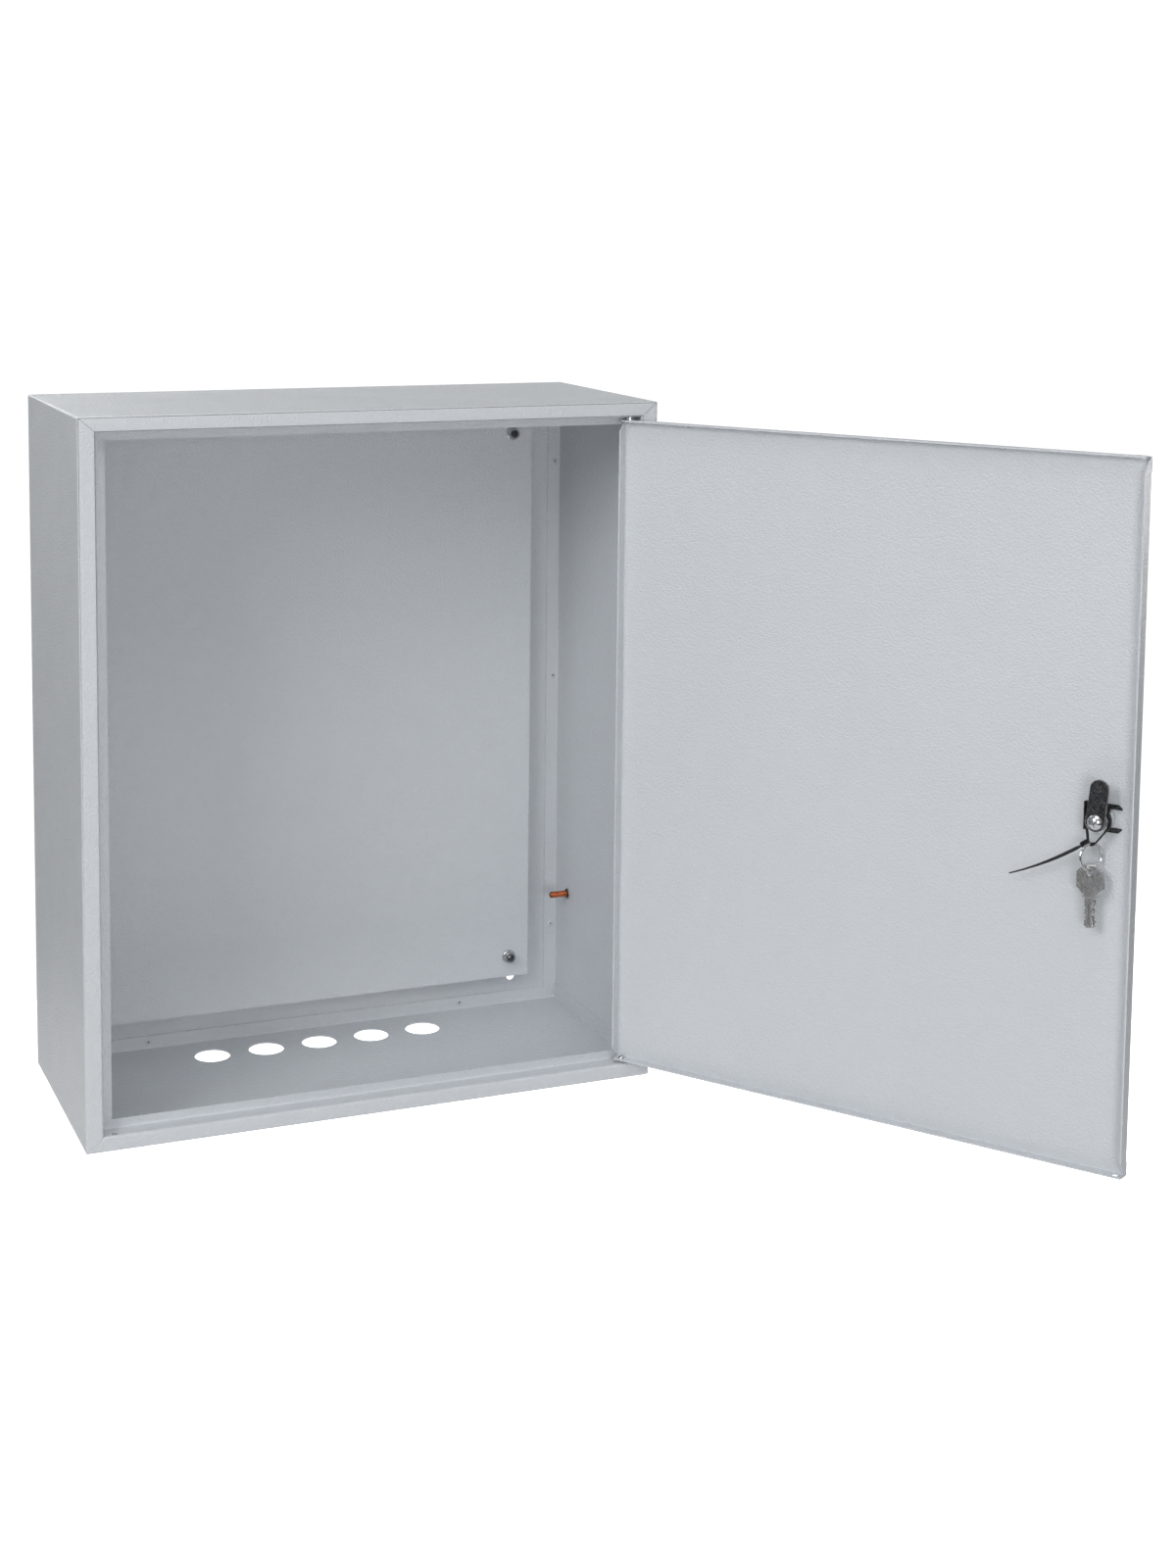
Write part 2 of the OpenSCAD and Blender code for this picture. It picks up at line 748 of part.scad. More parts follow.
// ---------- tie, ring and keys ----------

// Outline of a belt round the barrel and the loop's bottom bend, off outwards
function belt(off) =
    let (lean = acos((loop_r - bend_mid_r) / loop_span))
    concat(
        [for (i = [0:24]) let (a = loop_dir + lean + (360 - 2 * lean) * i / 24)
            (loop_r + off) * [cos(a), sin(a)]],
        [for (i = [0:10]) let (a = loop_dir - lean + 2 * lean * i / 10)
            [tie_side, -tie_drop] + (bend_mid_r + off) * [cos(a), sin(a)]]
    );

// Middle line of the tail: it leaves the head, droops and flattens out
function tail_at(f) = tail_len * [0.88 * f, -0.62 * f + 0.14 * f * f];

module cable_tie() {
    head = [5, 4.6];
    head_at = [tie_side + bend_mid_r + 2, -tie_drop - 2.4];
    y0 = tie_depth - tie_w / 2;
    y1 = tie_depth + tie_w / 2;
    color(nylon_black) at_lock() {
        difference() {
            upright(y0, y1) polygon(belt(tie_t / 2));
            upright(y0 - 1, y1 + 1) polygon(belt(-tie_t / 2));
            rod_y(tie_side, -tie_drop, 2 * tie_bore, y0 - 1, y1 + 1);
        }
        upright(y0 - 0.7, y1 + 0.7) translate(head_at) rotate(-35) square(head, center = true);
        upright(y0, y1) translate(head_at)
            strip([for (i = [0:8]) tail_at(i / 8)], tie_t, tie_t);
    }
}

// Frame of the ring: origin at the ring's top, where it hangs in the loop
module at_ring() {
    at_lock() translate([tie_side, tie_depth, ring_hang_z]) children();
}

module key_ring() {
    color(nickel) at_ring() rotate([0, 0, -ring_turn]) translate([0, 0, -ring_mid_r]) rotate([0, 90, 0])
        rotate_extrude($fn = 64) translate([ring_mid_r, 0]) circle(d = ring_wire, $fn = 24);
}

// A flat key hanging from its hole, the ring's wire at the origin
module key_blank(y0) {
    cut = bow_w * 0.29;
    top = bow_h * 0.28 - key_hole_d / 2;
    bow = [
        [-bow_w / 2 + cut, top], [bow_w / 2 - cut, top],
        [bow_w / 2, top - cut], [bow_w / 2, top - bow_h + cut],
        [bow_w / 2 - cut, top - bow_h], [-bow_w / 2 + cut, top - bow_h],
        [-bow_w / 2, top - bow_h + cut], [-bow_w / 2, top - cut]
    ];
    blade_top = top - bow_h;
    shoulder = 5;
    difference() {
        union() {
            upright(y0, y0 + key_t) polygon(bow);
            upright(y0, y0 + key_t)
                translate([-blade_w * 0.75, blade_top - shoulder]) square([blade_w * 1.5, shoulder + 1]);
            upright(y0, y0 + key_t) polygon([
                [-blade_w / 2, blade_top - 1], [blade_w / 2, blade_top - 1],
                [blade_w / 2, blade_top - blade_len + 1.5], [blade_w / 6, blade_top - blade_len],
                [-blade_w / 6, blade_top - blade_len], [-blade_w / 2, blade_top - blade_len + 1.5]
            ]);
        }
        rod_y(0, -key_hole_drop, key_hole_d, y0 - 1, y0 + key_t + 1);
        translate([blade_w * 0.08, y0 + key_t - 0.5, blade_top - blade_len - 1])
            cube([1.4, 1, blade_len]);
    }
}

module at_keys() {
    at_lock() translate([tie_side, tie_depth, key_hang_z]) children();
}

module key_front() {
    color(nickel) at_keys() key_blank(key_gap / 2);
}

module key_rear() {
    color(nickel) at_keys() key_blank(-key_t - key_gap / 2);
}

shell_wrap();
floor_panel();
back_panel();
frame_rivets();
mounting_plate();
plate_studs();
plate_spacers();
plate_washers();
plate_nuts();
earth_stud();
earth_washer();
door_panel();
hinge_pin_top();
hinge_pin_bottom();
hinge_washers();
hinge_clips();
lock_barrel();
lock_clip();
cable_tie();
lock_plug();
lock_wafers();
lock_cam();
cam_washer();
cam_screw();
key_ring();
key_front();
key_rear();
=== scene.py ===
import json
from math import pi, radians
import bmesh
import bpy
import numpy as np
from mathutils import Matrix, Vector
from mathutils.geometry import tessellate_polygon


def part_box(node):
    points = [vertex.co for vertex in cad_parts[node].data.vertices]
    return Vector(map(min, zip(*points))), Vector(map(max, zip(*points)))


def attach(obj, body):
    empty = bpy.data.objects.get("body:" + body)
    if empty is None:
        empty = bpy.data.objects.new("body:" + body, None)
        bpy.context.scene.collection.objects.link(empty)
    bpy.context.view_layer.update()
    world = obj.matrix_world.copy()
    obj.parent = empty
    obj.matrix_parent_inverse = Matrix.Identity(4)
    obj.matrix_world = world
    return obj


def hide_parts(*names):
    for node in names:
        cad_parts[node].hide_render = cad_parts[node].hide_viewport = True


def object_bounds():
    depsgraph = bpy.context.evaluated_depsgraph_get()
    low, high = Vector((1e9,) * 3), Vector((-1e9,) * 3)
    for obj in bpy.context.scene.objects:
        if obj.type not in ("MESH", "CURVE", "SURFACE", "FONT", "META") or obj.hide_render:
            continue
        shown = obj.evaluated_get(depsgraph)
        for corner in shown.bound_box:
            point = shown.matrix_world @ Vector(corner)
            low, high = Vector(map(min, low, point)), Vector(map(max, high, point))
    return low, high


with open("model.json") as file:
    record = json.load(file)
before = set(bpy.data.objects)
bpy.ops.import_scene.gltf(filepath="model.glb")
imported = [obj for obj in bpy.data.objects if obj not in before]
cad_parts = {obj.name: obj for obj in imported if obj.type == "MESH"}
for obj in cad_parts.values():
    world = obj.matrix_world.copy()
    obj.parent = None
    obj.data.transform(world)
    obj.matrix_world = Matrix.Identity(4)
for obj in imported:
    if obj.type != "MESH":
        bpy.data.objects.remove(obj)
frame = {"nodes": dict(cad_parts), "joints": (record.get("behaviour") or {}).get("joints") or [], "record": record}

cadBox = [list(corner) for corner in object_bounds()]
joints = {joint["name"]: joint for joint in frame["joints"]}
print("frame loaded")


def newGroup(name, inputs, outputs):
    group = bpy.data.node_groups.new(name, "ShaderNodeTree")
    for socketName, default in inputs:
        socket = group.interface.new_socket(socketName, in_out="INPUT", socket_type="NodeSocketFloat")
        socket.default_value = default
    for socketName in outputs:
        group.interface.new_socket(socketName, in_out="OUTPUT", socket_type="NodeSocketFloat")
    return group, group.nodes.new("NodeGroupInput"), group.nodes.new("NodeGroupOutput")


def addNode(tree, kind, values=None, **settings):
    node = tree.nodes.new(kind)
    for key, value in settings.items():
        setattr(node, key, value)
    for key, value in (values or {}).items():
        node.inputs[key].default_value = value
    return node


def blotchGroup():
    # smooth noise over the object's own coordinates, opened out between two levels
    inputs = [("Per metre", 100.0), ("Detail", 2.0), ("Low", 0.4), ("High", 0.6)]
    group, start, end = newGroup("blotches", inputs, ["Mask"])
    place = addNode(group, "ShaderNodeTexCoord")
    noise = addNode(group, "ShaderNodeTexNoise", {"Roughness": 0.55})
    spread = addNode(group, "ShaderNodeMapRange", interpolation_type="SMOOTHSTEP")
    link = group.links.new
    link(place.outputs["Object"], noise.inputs["Vector"])
    link(start.outputs["Per metre"], noise.inputs["Scale"])
    link(start.outputs["Detail"], noise.inputs["Detail"])
    link(noise.outputs["Fac"], spread.inputs["Value"])
    link(start.outputs["Low"], spread.inputs["From Min"])
    link(start.outputs["High"], spread.inputs["From Max"])
    link(spread.outputs["Result"], end.inputs["Mask"])
    return group


def scratchGroup():
    # hairlines: noise squeezed along one direction, of which only the thin middle level is kept
    inputs = [("Per metre", 900.0), ("Stretch", 0.04), ("Turn", 0.6), ("Width", 0.02)]
    group, start, end = newGroup("hairlines", inputs, ["Mask"])
    place = addNode(group, "ShaderNodeTexCoord")
    turnBy = addNode(group, "ShaderNodeCombineXYZ")
    squeezeBy = addNode(group, "ShaderNodeCombineXYZ", {"X": 1.0, "Y": 1.0})
    turn = addNode(group, "ShaderNodeMapping")
    squeeze = addNode(group, "ShaderNodeVectorMath", operation="MULTIPLY")
    noise = addNode(group, "ShaderNodeTexNoise", {"Detail": 1.0})
    centred = addNode(group, "ShaderNodeMath", {1: 0.5}, operation="SUBTRACT")
    away = addNode(group, "ShaderNodeMath", operation="ABSOLUTE")
    line = addNode(group, "ShaderNodeMapRange", {"From Min": 0.0, "To Min": 1.0, "To Max": 0.0})
    link = group.links.new
    link(start.outputs["Turn"], turnBy.inputs["X"])
    link(start.outputs["Turn"], turnBy.inputs["Y"])
    link(start.outputs["Stretch"], squeezeBy.inputs["Z"])
    link(place.outputs["Object"], turn.inputs["Vector"])
    link(turnBy.outputs["Vector"], turn.inputs["Rotation"])
    link(turn.outputs["Vector"], squeeze.inputs[0])
    link(squeezeBy.outputs["Vector"], squeeze.inputs[1])
    link(squeeze.outputs["Vector"], noise.inputs["Vector"])
    link(start.outputs["Per metre"], noise.inputs["Scale"])
    link(noise.outputs["Fac"], centred.inputs[0])
    link(centred.outputs["Value"], away.inputs[0])
    link(away.outputs["Value"], line.inputs["Value"])
    link(start.outputs["Width"], line.inputs["From Max"])
    link(line.outputs["Result"], end.inputs["Mask"])
    return group


blotches, hairlines = blotchGroup(), scratchGroup()


def newFinish(name, **constants):
    material = bpy.data.materials.new(name)
    material.use_nodes = True
    tree = material.node_tree
    shader = tree.nodes["Principled BSDF"]
    for key, value in constants.items():
        shader.inputs[key].default_value = value
    return material, tree, shader


def useGroup(tree, group, **values):
    node = tree.nodes.new("ShaderNodeGroup")
    node.node_tree = group
    for key, value in values.items():
        node.inputs[key.replace("_", " ")].default_value = value
    return node.outputs["Mask"]


def blendColours(tree, mask, first, second):
    mix = addNode(tree, "ShaderNodeMix", data_type="RGBA")
    colours = [socket for socket in mix.inputs if socket.type == "RGBA"]
    for socket, value in zip(colours, (first, second)):
        if isinstance(value, tuple):
            socket.default_value = (*value, 1.0)
        else:
            tree.links.new(value, socket)
    tree.links.new(mask, mix.inputs["Factor"])
    return [socket for socket in mix.outputs if socket.type == "RGBA"][0]


def spreadTo(tree, mask, low, high):
    span = addNode(tree, "ShaderNodeMapRange", {"To Min": low, "To Max": high})
    tree.links.new(mask, span.inputs["Value"])
    return span.outputs["Result"]


def addUp(tree, *parts):
    total = parts[0]
    for part in parts[1:]:
        add = addNode(tree, "ShaderNodeMath", operation="ADD")
        tree.links.new(total, add.inputs[0])
        tree.links.new(part, add.inputs[1])
        total = add.outputs["Value"]
    return total


def bumpFrom(tree, shader, height, depth, strength=1.0):
    bump = addNode(tree, "ShaderNodeBump", {"Strength": strength, "Distance": depth})
    tree.links.new(height, bump.inputs["Height"])
    tree.links.new(bump.outputs["Normal"], shader.inputs["Normal"])


coatLook = dict(
    ior=1.5, pale=(0.626, 0.654, 0.688), deep=(0.618, 0.646, 0.680), dust=(0.64, 0.67, 0.70),
    # seam is the painted shade colour for the floor of the mitre grooves
    seam=(0.06, 0.06, 0.065), mostDust=0.35, roughLow=0.22, roughHigh=0.25,
    broadPerMetre=7.0, dustPerMetre=900.0, smearPerMetre=22.0,
    peelPerMetre=560.0, peelDepth=0.00034, grainPerMetre=1900.0, grainShare=0.16,
)


def powderCoat():
    # slightly mottled pale grey, with the rolling skin of a sprayed and baked powder
    look = coatLook
    material, tree, shader = newFinish("powder_coat", **{"IOR": look["ior"]})
    broad = useGroup(tree, blotches, Per_metre=look["broadPerMetre"], Detail=3.0, Low=0.3, High=0.7)
    dust = useGroup(tree, blotches, Per_metre=look["dustPerMetre"], Detail=1.0, Low=0.62, High=0.8)
    colour = blendColours(tree, broad, look["deep"], look["pale"])
    colour = blendColours(tree, spreadTo(tree, dust, 0.0, look["mostDust"]), colour, look["dust"])
    # painted shade: the floor of the mitre grooves turns near black
    seam = addNode(tree, "ShaderNodeAttribute", attribute_name="seam")
    colour = blendColours(tree, seam.outputs["Fac"], colour, look["seam"])
    tree.links.new(colour, shader.inputs["Base Color"])
    smears = useGroup(tree, blotches, Per_metre=look["smearPerMetre"], Detail=4.0, Low=0.35, High=0.68)
    rough = spreadTo(tree, smears, look["roughLow"], look["roughHigh"])
    tree.links.new(rough, shader.inputs["Roughness"])
    peel = useGroup(tree, blotches, Per_metre=look["peelPerMetre"], Detail=1.0, Low=0.25, High=0.75)
    grain = useGroup(tree, blotches, Per_metre=look["grainPerMetre"], Detail=1.0, Low=0.2, High=0.8)
    height = addUp(tree, peel, spreadTo(tree, grain, 0.0, look["grainShare"]))
    bumpFrom(tree, shader, height, look["peelDepth"])
    return material


metalLook = dict(
    zinc_plate=dict(pale=(0.70, 0.71, 0.73), deep=(0.54, 0.55, 0.57), roughLow=0.14, roughHigh=0.24),
    # painted shade: zinc darkened to stand for the dark reflection on the studs' ends; the rivet stems and the cam
    # washer take it too
    dulled_zinc=dict(pale=(0.20, 0.205, 0.215), deep=(0.10, 0.10, 0.11), roughLow=0.22, roughHigh=0.34),
    chrome=dict(pale=(0.88, 0.885, 0.895), deep=(0.70, 0.71, 0.73), roughLow=0.05, roughHigh=0.14, turn=1.2),
    brass=dict(pale=(0.74, 0.53, 0.22), deep=(0.55, 0.37, 0.13), roughLow=0.22, roughHigh=0.38),
    copper_plate=dict(pale=(0.74, 0.27, 0.12), deep=(0.42, 0.12, 0.05), roughLow=0.24, roughHigh=0.42),
    nickel_plate=dict(pale=(0.66, 0.665, 0.675), deep=(0.61, 0.615, 0.625), roughLow=0.22, roughHigh=0.26,
                      turn=0.3, depth=0.0000015),
    bright_nickel=dict(pale=(0.86, 0.865, 0.87), deep=(0.78, 0.785, 0.79), roughLow=0.07, roughHigh=0.13,
                       depth=0.000004),
)
handling = dict(cloudPerMetre=140.0, linePerMetre=1100.0, stretch=0.05, width=0.03, lineColour=0.4,
                lineRough=0.12)


def platedMetal(name, pale, deep, roughLow, roughHigh, turn=0.0, depth=0.000012):
    # bare plated metal: cloudy colour, hairlines from handling, and a roughness that follows both
    material, tree, shader = newFinish(name, **{"Metallic": 1.0})
    cloud = useGroup(tree, blotches, Per_metre=handling["cloudPerMetre"], Detail=3.0, Low=0.25, High=0.75)
    lines = useGroup(tree, hairlines, Per_metre=handling["linePerMetre"], Stretch=handling["stretch"],
                     Turn=turn, Width=handling["width"])
    colour = blendColours(tree, cloud, deep, pale)
    colour = blendColours(tree, spreadTo(tree, lines, 0.0, handling["lineColour"]), colour, deep)
    tree.links.new(colour, shader.inputs["Base Color"])
    rough = addUp(tree, spreadTo(tree, cloud, roughLow, roughHigh),
                  spreadTo(tree, lines, 0.0, handling["lineRough"]))
    tree.links.new(rough, shader.inputs["Roughness"])
    bumpFrom(tree, shader, addUp(tree, cloud, lines), depth)
    return material


darkLook = dict(
    # the pale colour serves the real scratches and the painted edge highlight along the rims
    metallic=0.85, deep=(0.040, 0.041, 0.045), pale=(0.072, 0.074, 0.080), rubbedAndHighlight=(0.42, 0.42, 0.43),
    roughLow=0.34, roughHigh=0.44, mottlePerMetre=520.0, linePerMetre=420.0, crossPerMetre=380.0,
    lineShare=0.55, crossShare=0.4, depth=0.000015,
)


def darkSteel():
    # oil-blackened spring steel: mottled, with scratches down to the metal, and pale rims that are a painted edge
    # highlight
    look = darkLook
    material, tree, shader = newFinish("dark_steel", **{"Metallic": look["metallic"]})
    mottle = useGroup(tree, blotches, Per_metre=look["mottlePerMetre"], Detail=5.0, Low=0.36, High=0.66)
    lines = useGroup(tree, hairlines, Per_metre=look["linePerMetre"], Stretch=0.07, Turn=0.5, Width=0.012)
    crossing = useGroup(tree, hairlines, Per_metre=look["crossPerMetre"], Stretch=0.09, Turn=-0.7, Width=0.01)
    # painted highlight: the rim attribute turns the edges pale
    rim = addNode(tree, "ShaderNodeAttribute", attribute_name="rim")
    brokenRimHighlight = addNode(tree, "ShaderNodeMath", operation="MULTIPLY")
    tree.links.new(rim.outputs["Fac"], brokenRimHighlight.inputs[0])
    tree.links.new(spreadTo(tree, mottle, 0.35, 1.0), brokenRimHighlight.inputs[1])
    colour = blendColours(tree, mottle, look["deep"], look["pale"])
    wornAndHighlight = addUp(tree, spreadTo(tree, lines, 0.0, look["lineShare"]),
                 spreadTo(tree, crossing, 0.0, look["crossShare"]), brokenRimHighlight.outputs["Value"])
    tree.links.new(blendColours(tree, wornAndHighlight, colour, look["rubbedAndHighlight"]), shader.inputs["Base Color"])
    tree.links.new(spreadTo(tree, mottle, look["roughLow"], look["roughHigh"]), shader.inputs["Roughness"])
    bumpFrom(tree, shader, addUp(tree, mottle, lines), look["depth"])
    return material


nylonLook = dict(
    ior=1.42, deep=(0.004, 0.004, 0.005), pale=(0.009, 0.009, 0.010), roughLow=0.42, roughHigh=0.58,
    grainPerMetre=2600.0, cloudPerMetre=160.0, depth=0.00002,
)


def blackNylon():
    # moulded nylon: nearly black, faintly grained, with a soft satin shine
    look = nylonLook
    material, tree, shader = newFinish("black_nylon", **{"IOR": look["ior"]})
    grain = useGroup(tree, blotches, Per_metre=look["grainPerMetre"], Detail=2.0, Low=0.3, High=0.7)
    cloud = useGroup(tree, blotches, Per_metre=look["cloudPerMetre"], Detail=3.0, Low=0.3, High=0.7)
    tree.links.new(blendColours(tree, cloud, look["deep"], look["pale"]), shader.inputs["Base Color"])
    tree.links.new(spreadTo(tree, cloud, look["roughLow"], look["roughHigh"]), shader.inputs["Roughness"])
    bumpFrom(tree, shader, grain, look["depth"])
    return material


finishes = {"powder_coat": powderCoat(), "dark_steel": darkSteel(), "black_nylon": blackNylon()}
for name, look in metalLook.items():
    finishes[name] = platedMetal(name, **look)
for node in frame["nodes"].values():
    subpart = next(row for row in frame["record"]["subparts"] if row["node"] == node.name)
    node.data.materials.clear()
    node.data.materials.append(finishes[subpart["material_slot"]])
print("finishes ready")


def unit(v):
    v = np.asarray(v, float)
    return v / np.linalg.norm(v, axis=-1, keepdims=True)


def coordsOf(node):
    co = np.empty(len(frame["nodes"][node].data.vertices) * 3)
    frame["nodes"][node].data.vertices.foreach_get("co", co)
    return co.reshape(-1, 3)


def placesOf(node, reach):
    # the like pieces of a group node: everything within reach of a first point is one piece
    points, boxes = coordsOf(node), []
    while len(points):
        near = np.linalg.norm(points - points[0], axis=1) < reach
        boxes.append((points[near].min(0), points[near].max(0)))
        points = points[~near]
    return boxes


def loftFaces(rings, points, closedLong=False):
    # quads between neighbouring rings of points, where each ring closes on itself
    i, j = np.meshgrid(np.arange(rings if closedLong else rings - 1), np.arange(points), indexing="ij")
    i2, j2 = (i + 1) % rings, (j + 1) % points
    return np.stack([i * points + j, i * points + j2, i2 * points + j2, i2 * points + j], -1).reshape(-1, 4)


def joined(shapes):
    # several shapes as one list of points and one of faces, with the face numbers moved on
    points, faces, first = [], [], 0
    for shapePoints, shapeFaces in shapes:
        points.append(shapePoints)
        faces.extend([[first + i for i in face] for face in shapeFaces])
        first += len(shapePoints)
    return np.concatenate(points), faces


def eachOf(node, reach, shapeOf, *sizes):
    # the like pieces of a group node, each made in its own box, as one shape
    return joined([shapeOf(low, high, *sizes) for low, high in placesOf(node, reach)])


def addPiece(name, shape, finish, body, *nodes, sharp=32.0, rim=None):
    # a mesh from points and faces, merged and turned outwards; rim is how strongly each point takes the pale edge
    # colour, a painted highlight
    points, faces = shape
    mesh = bpy.data.meshes.new(name)
    mesh.from_pydata(points.tolist(), [], [list(face) for face in faces])
    if rim is not None:
        mesh.attributes.new("rim", "FLOAT", "POINT").data.foreach_set("value", np.asarray(rim, np.float32))
    work = bmesh.new()
    work.from_mesh(mesh)
    bmesh.ops.remove_doubles(work, verts=work.verts, dist=1e-7)
    bmesh.ops.recalc_face_normals(work, faces=work.faces)
    work.to_mesh(mesh)
    work.free()
    return finishPiece(name, mesh, finish, body, nodes, sharp)


def finishPiece(name, mesh, finish, body, nodes, sharp):
    # shading, finish, body and replaced nodes; the wide flat faces set the shading beside them
    mesh.shade_smooth()
    mesh.set_sharp_from_angle(angle=radians(sharp))
    mesh.materials.clear()
    mesh.materials.append(finishes[finish])
    piece = bpy.data.objects.new(name, mesh)
    bpy.context.scene.collection.objects.link(piece)
    evened = piece.modifiers.new("evened_shading", "WEIGHTED_NORMAL")
    evened.weight = 100
    evened.keep_sharp = True
    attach(piece, body)
    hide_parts(*nodes)
    return piece


def softenedCopy(node, name, finish, body, edge, sharp=32.0):
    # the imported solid's own shape, merged, with its cut edges rounded and its bends shaded smooth
    mesh = frame["nodes"][node].data.copy()
    work = bmesh.new()
    work.from_mesh(mesh)
    bmesh.ops.remove_doubles(work, verts=work.verts, dist=2e-6)
    bmesh.ops.dissolve_limit(work, angle_limit=radians(0.5), verts=work.verts, edges=work.edges)
    if edge:
        cut = [e for e in work.edges if len(e.link_faces) == 2 and e.calc_face_angle(0.0) > radians(40.0)]
        bmesh.ops.bevel(work, geom=cut, offset=edge, offset_type="OFFSET", segments=2, profile=0.5,
                        affect="EDGES", clamp_overlap=True)
    bmesh.ops.triangulate(work, faces=[f for f in work.faces if len(f.verts) > 4])
    work.to_mesh(mesh)
    work.free()
    return finishPiece(name, mesh, finish, body, [node], sharp)


def along(origin, axis, side=(0, 0, 1)):
    # axes for a turned piece: its own Z points along the axis
    z = unit(axis)
    x = unit(np.cross(side, z)) if abs(z @ unit(side)) < 0.99 else np.array([1.0, 0.0, 0.0])
    return np.asarray(origin, float), np.stack([x, np.cross(z, x), z])


def frontward(low, high, depth):
    # a seat in the middle of a box, at a depth, that points out to the front
    return along([(low[0] + high[0]) / 2, depth, (low[2] + high[2]) / 2], (0, -1, 0))


def placed(shape, seat):
    origin, axes = seat
    return shape[0] @ axes + origin, shape[1]


def lathe(profile, turns=72, closed=False):
    # each (radius, height) of the profile turned round Z
    profile = np.asarray(profile, float)
    a = np.arange(turns) / turns * 2 * pi
    points = np.stack([profile[:, :1] * np.cos(a), profile[:, :1] * np.sin(a),
                       np.repeat(profile[:, 1:], turns, 1)], -1).reshape(-1, 3)
    return points, loftFaces(len(profile), turns, closed).tolist()


def ringProfile(inner, outer, low, high, edge, steps=4):
    # section of a washer: a rectangle with its four corners rounded
    a = np.arange(steps + 1) / steps * pi / 2
    corner = np.stack([np.cos(a), np.sin(a)], -1) * edge
    return np.concatenate([
        corner + [outer - edge, high - edge], corner[::-1] * [-1, 1] + [inner + edge, high - edge],
        -corner + [inner + edge, low + edge], corner[::-1] * [1, -1] + [outer - edge, low + edge]])


def domeProfile(radius, height, foot, steps=14):
    # cap of a ball standing on a short cylinder, from the pole outwards and back in below
    ball = (radius ** 2 + height ** 2) / (2 * height)
    a = np.linspace(0, np.arcsin(min(1.0, radius / ball)), steps)
    return np.concatenate([np.stack([ball * np.sin(a), height - ball + ball * np.cos(a)], -1),
                           [[radius, -foot], [0.0, -foot]]])


def threadedRod(radius, length, pitch, depth, chamfer, perPitch=10, turns=40, startPlain=0.0):
    # radius over angle and height: a groove that climbs one pitch in each turn, with chamfered ends
    h = np.linspace(0, length, int(length / pitch * perPitch) + 2)[:, None]
    a = (np.arange(turns) / turns * 2 * pi)[None, :]
    wave = np.abs(((h / pitch - a / (2 * pi)) % 1.0) * 2 - 1)
    r = radius - depth * np.clip(wave * 1.3 - 0.15, 0, 1) * np.clip((h - startPlain) / pitch, 0, 1)
    r = np.minimum(r, radius - np.clip(h - (length - chamfer), 0, None))
    body = np.stack([r * np.cos(a), r * np.sin(a), h + 0 * a], -1).reshape(-1, 3)
    faces = loftFaces(len(h), turns).tolist()
    faces += [list(range(turns))[::-1], list(range(len(body) - turns, len(body)))]
    return body, faces


def roundedLoop(corners, radius, steps=5):
    # each corner of a closed outline turned into a smooth curve that starts a radius before it
    p = np.asarray(corners, float)
    back, ahead = np.roll(p, 1, 0) - p, np.roll(p, -1, 0) - p
    shorter = np.minimum(np.linalg.norm(back, axis=1), np.linalg.norm(ahead, axis=1))
    reach = np.minimum(radius, 0.49 * shorter)[:, None]
    first, last = p + unit(back) * reach, p + unit(ahead) * reach
    t = (np.arange(steps + 1) / steps)[None, :, None]
    curve = (1 - t) ** 2 * first[:, None] + 2 * t * (1 - t) * p[:, None] + t ** 2 * last[:, None]
    return curve.reshape(-1, 2)


def circleLoop(centre, radius, points=48):
    # a circle run clockwise, as holes are
    a = -np.arange(points) / points * 2 * pi
    return np.stack([centre[0] + radius * np.cos(a), centre[1] + radius * np.sin(a)], -1)


def insetLoop(loop, inset):
    # an outline moved into its material, which lies on the left of the path
    back, ahead = unit(loop - np.roll(loop, 1, 0)), unit(np.roll(loop, -1, 0) - loop)
    left, right = np.stack([-back[:, 1], back[:, 0]], -1), np.stack([-ahead[:, 1], ahead[:, 0]], -1)
    return loop + inset * (left + right) / (1 + np.sum(left * right, 1, keepdims=True))


def edgeSteps(thick, radius, steps=4):
    # inset and depth across a plate's rounded edge, from its front face to its back face
    a = np.arange(steps + 1) / steps * pi / 2
    front = np.stack([radius * (1 - np.sin(a)), radius * (1 - np.cos(a))], -1)
    return np.concatenate([front, front[::-1] * [1, -1] + [0, thick]])


def slab(outline, thick, edge, holes=(), pockets=(), steps=4):
    # outline and holes carried through the thickness and closed by flat faces;
    # a pocket is (outline, depth, side)
    levels = edgeSteps(thick, edge, steps)
    points, faces, front, back, first = [], [], [], [], 0
    for loop in [outline, *holes]:
        rings = np.stack([insetLoop(loop, inset) for inset, _ in levels])
        depths = np.broadcast_to(levels[:, 1, None, None], (len(levels), len(loop), 1))
        points.append(np.concatenate([rings, depths], -1).reshape(-1, 3))
        faces += (loftFaces(len(levels), len(loop)) + first).tolist()
        front.append(np.arange(len(loop)) + first)
        back.append(np.arange(len(loop)) + first + (len(levels) - 1) * len(loop))
        first += len(points[-1])
    for loop, depth, side in pockets:
        face, floor = (0.0, depth) if side == "front" else (thick, thick - depth)
        small = insetLoop(loop, depth * 0.6)
        points.append(np.concatenate([np.insert(loop, 2, face, 1), np.insert(small, 2, floor, 1)]))
        faces += (loftFaces(2, len(loop)) + first).tolist()
        faces.append((np.arange(len(loop)) + first + len(loop)).tolist())
        (front if side == "front" else back).append(np.arange(len(loop)) + first)
        first += len(points[-1])
    points = np.concatenate(points)
    for loops in (front, back):
        order = np.concatenate(loops)
        triangles = tessellate_polygon([[tuple(points[i]) for i in loop] for loop in loops])
        faces += [[int(order[i]) for i in triangle] for triangle in triangles]
    return points[:, [0, 2, 1]], faces


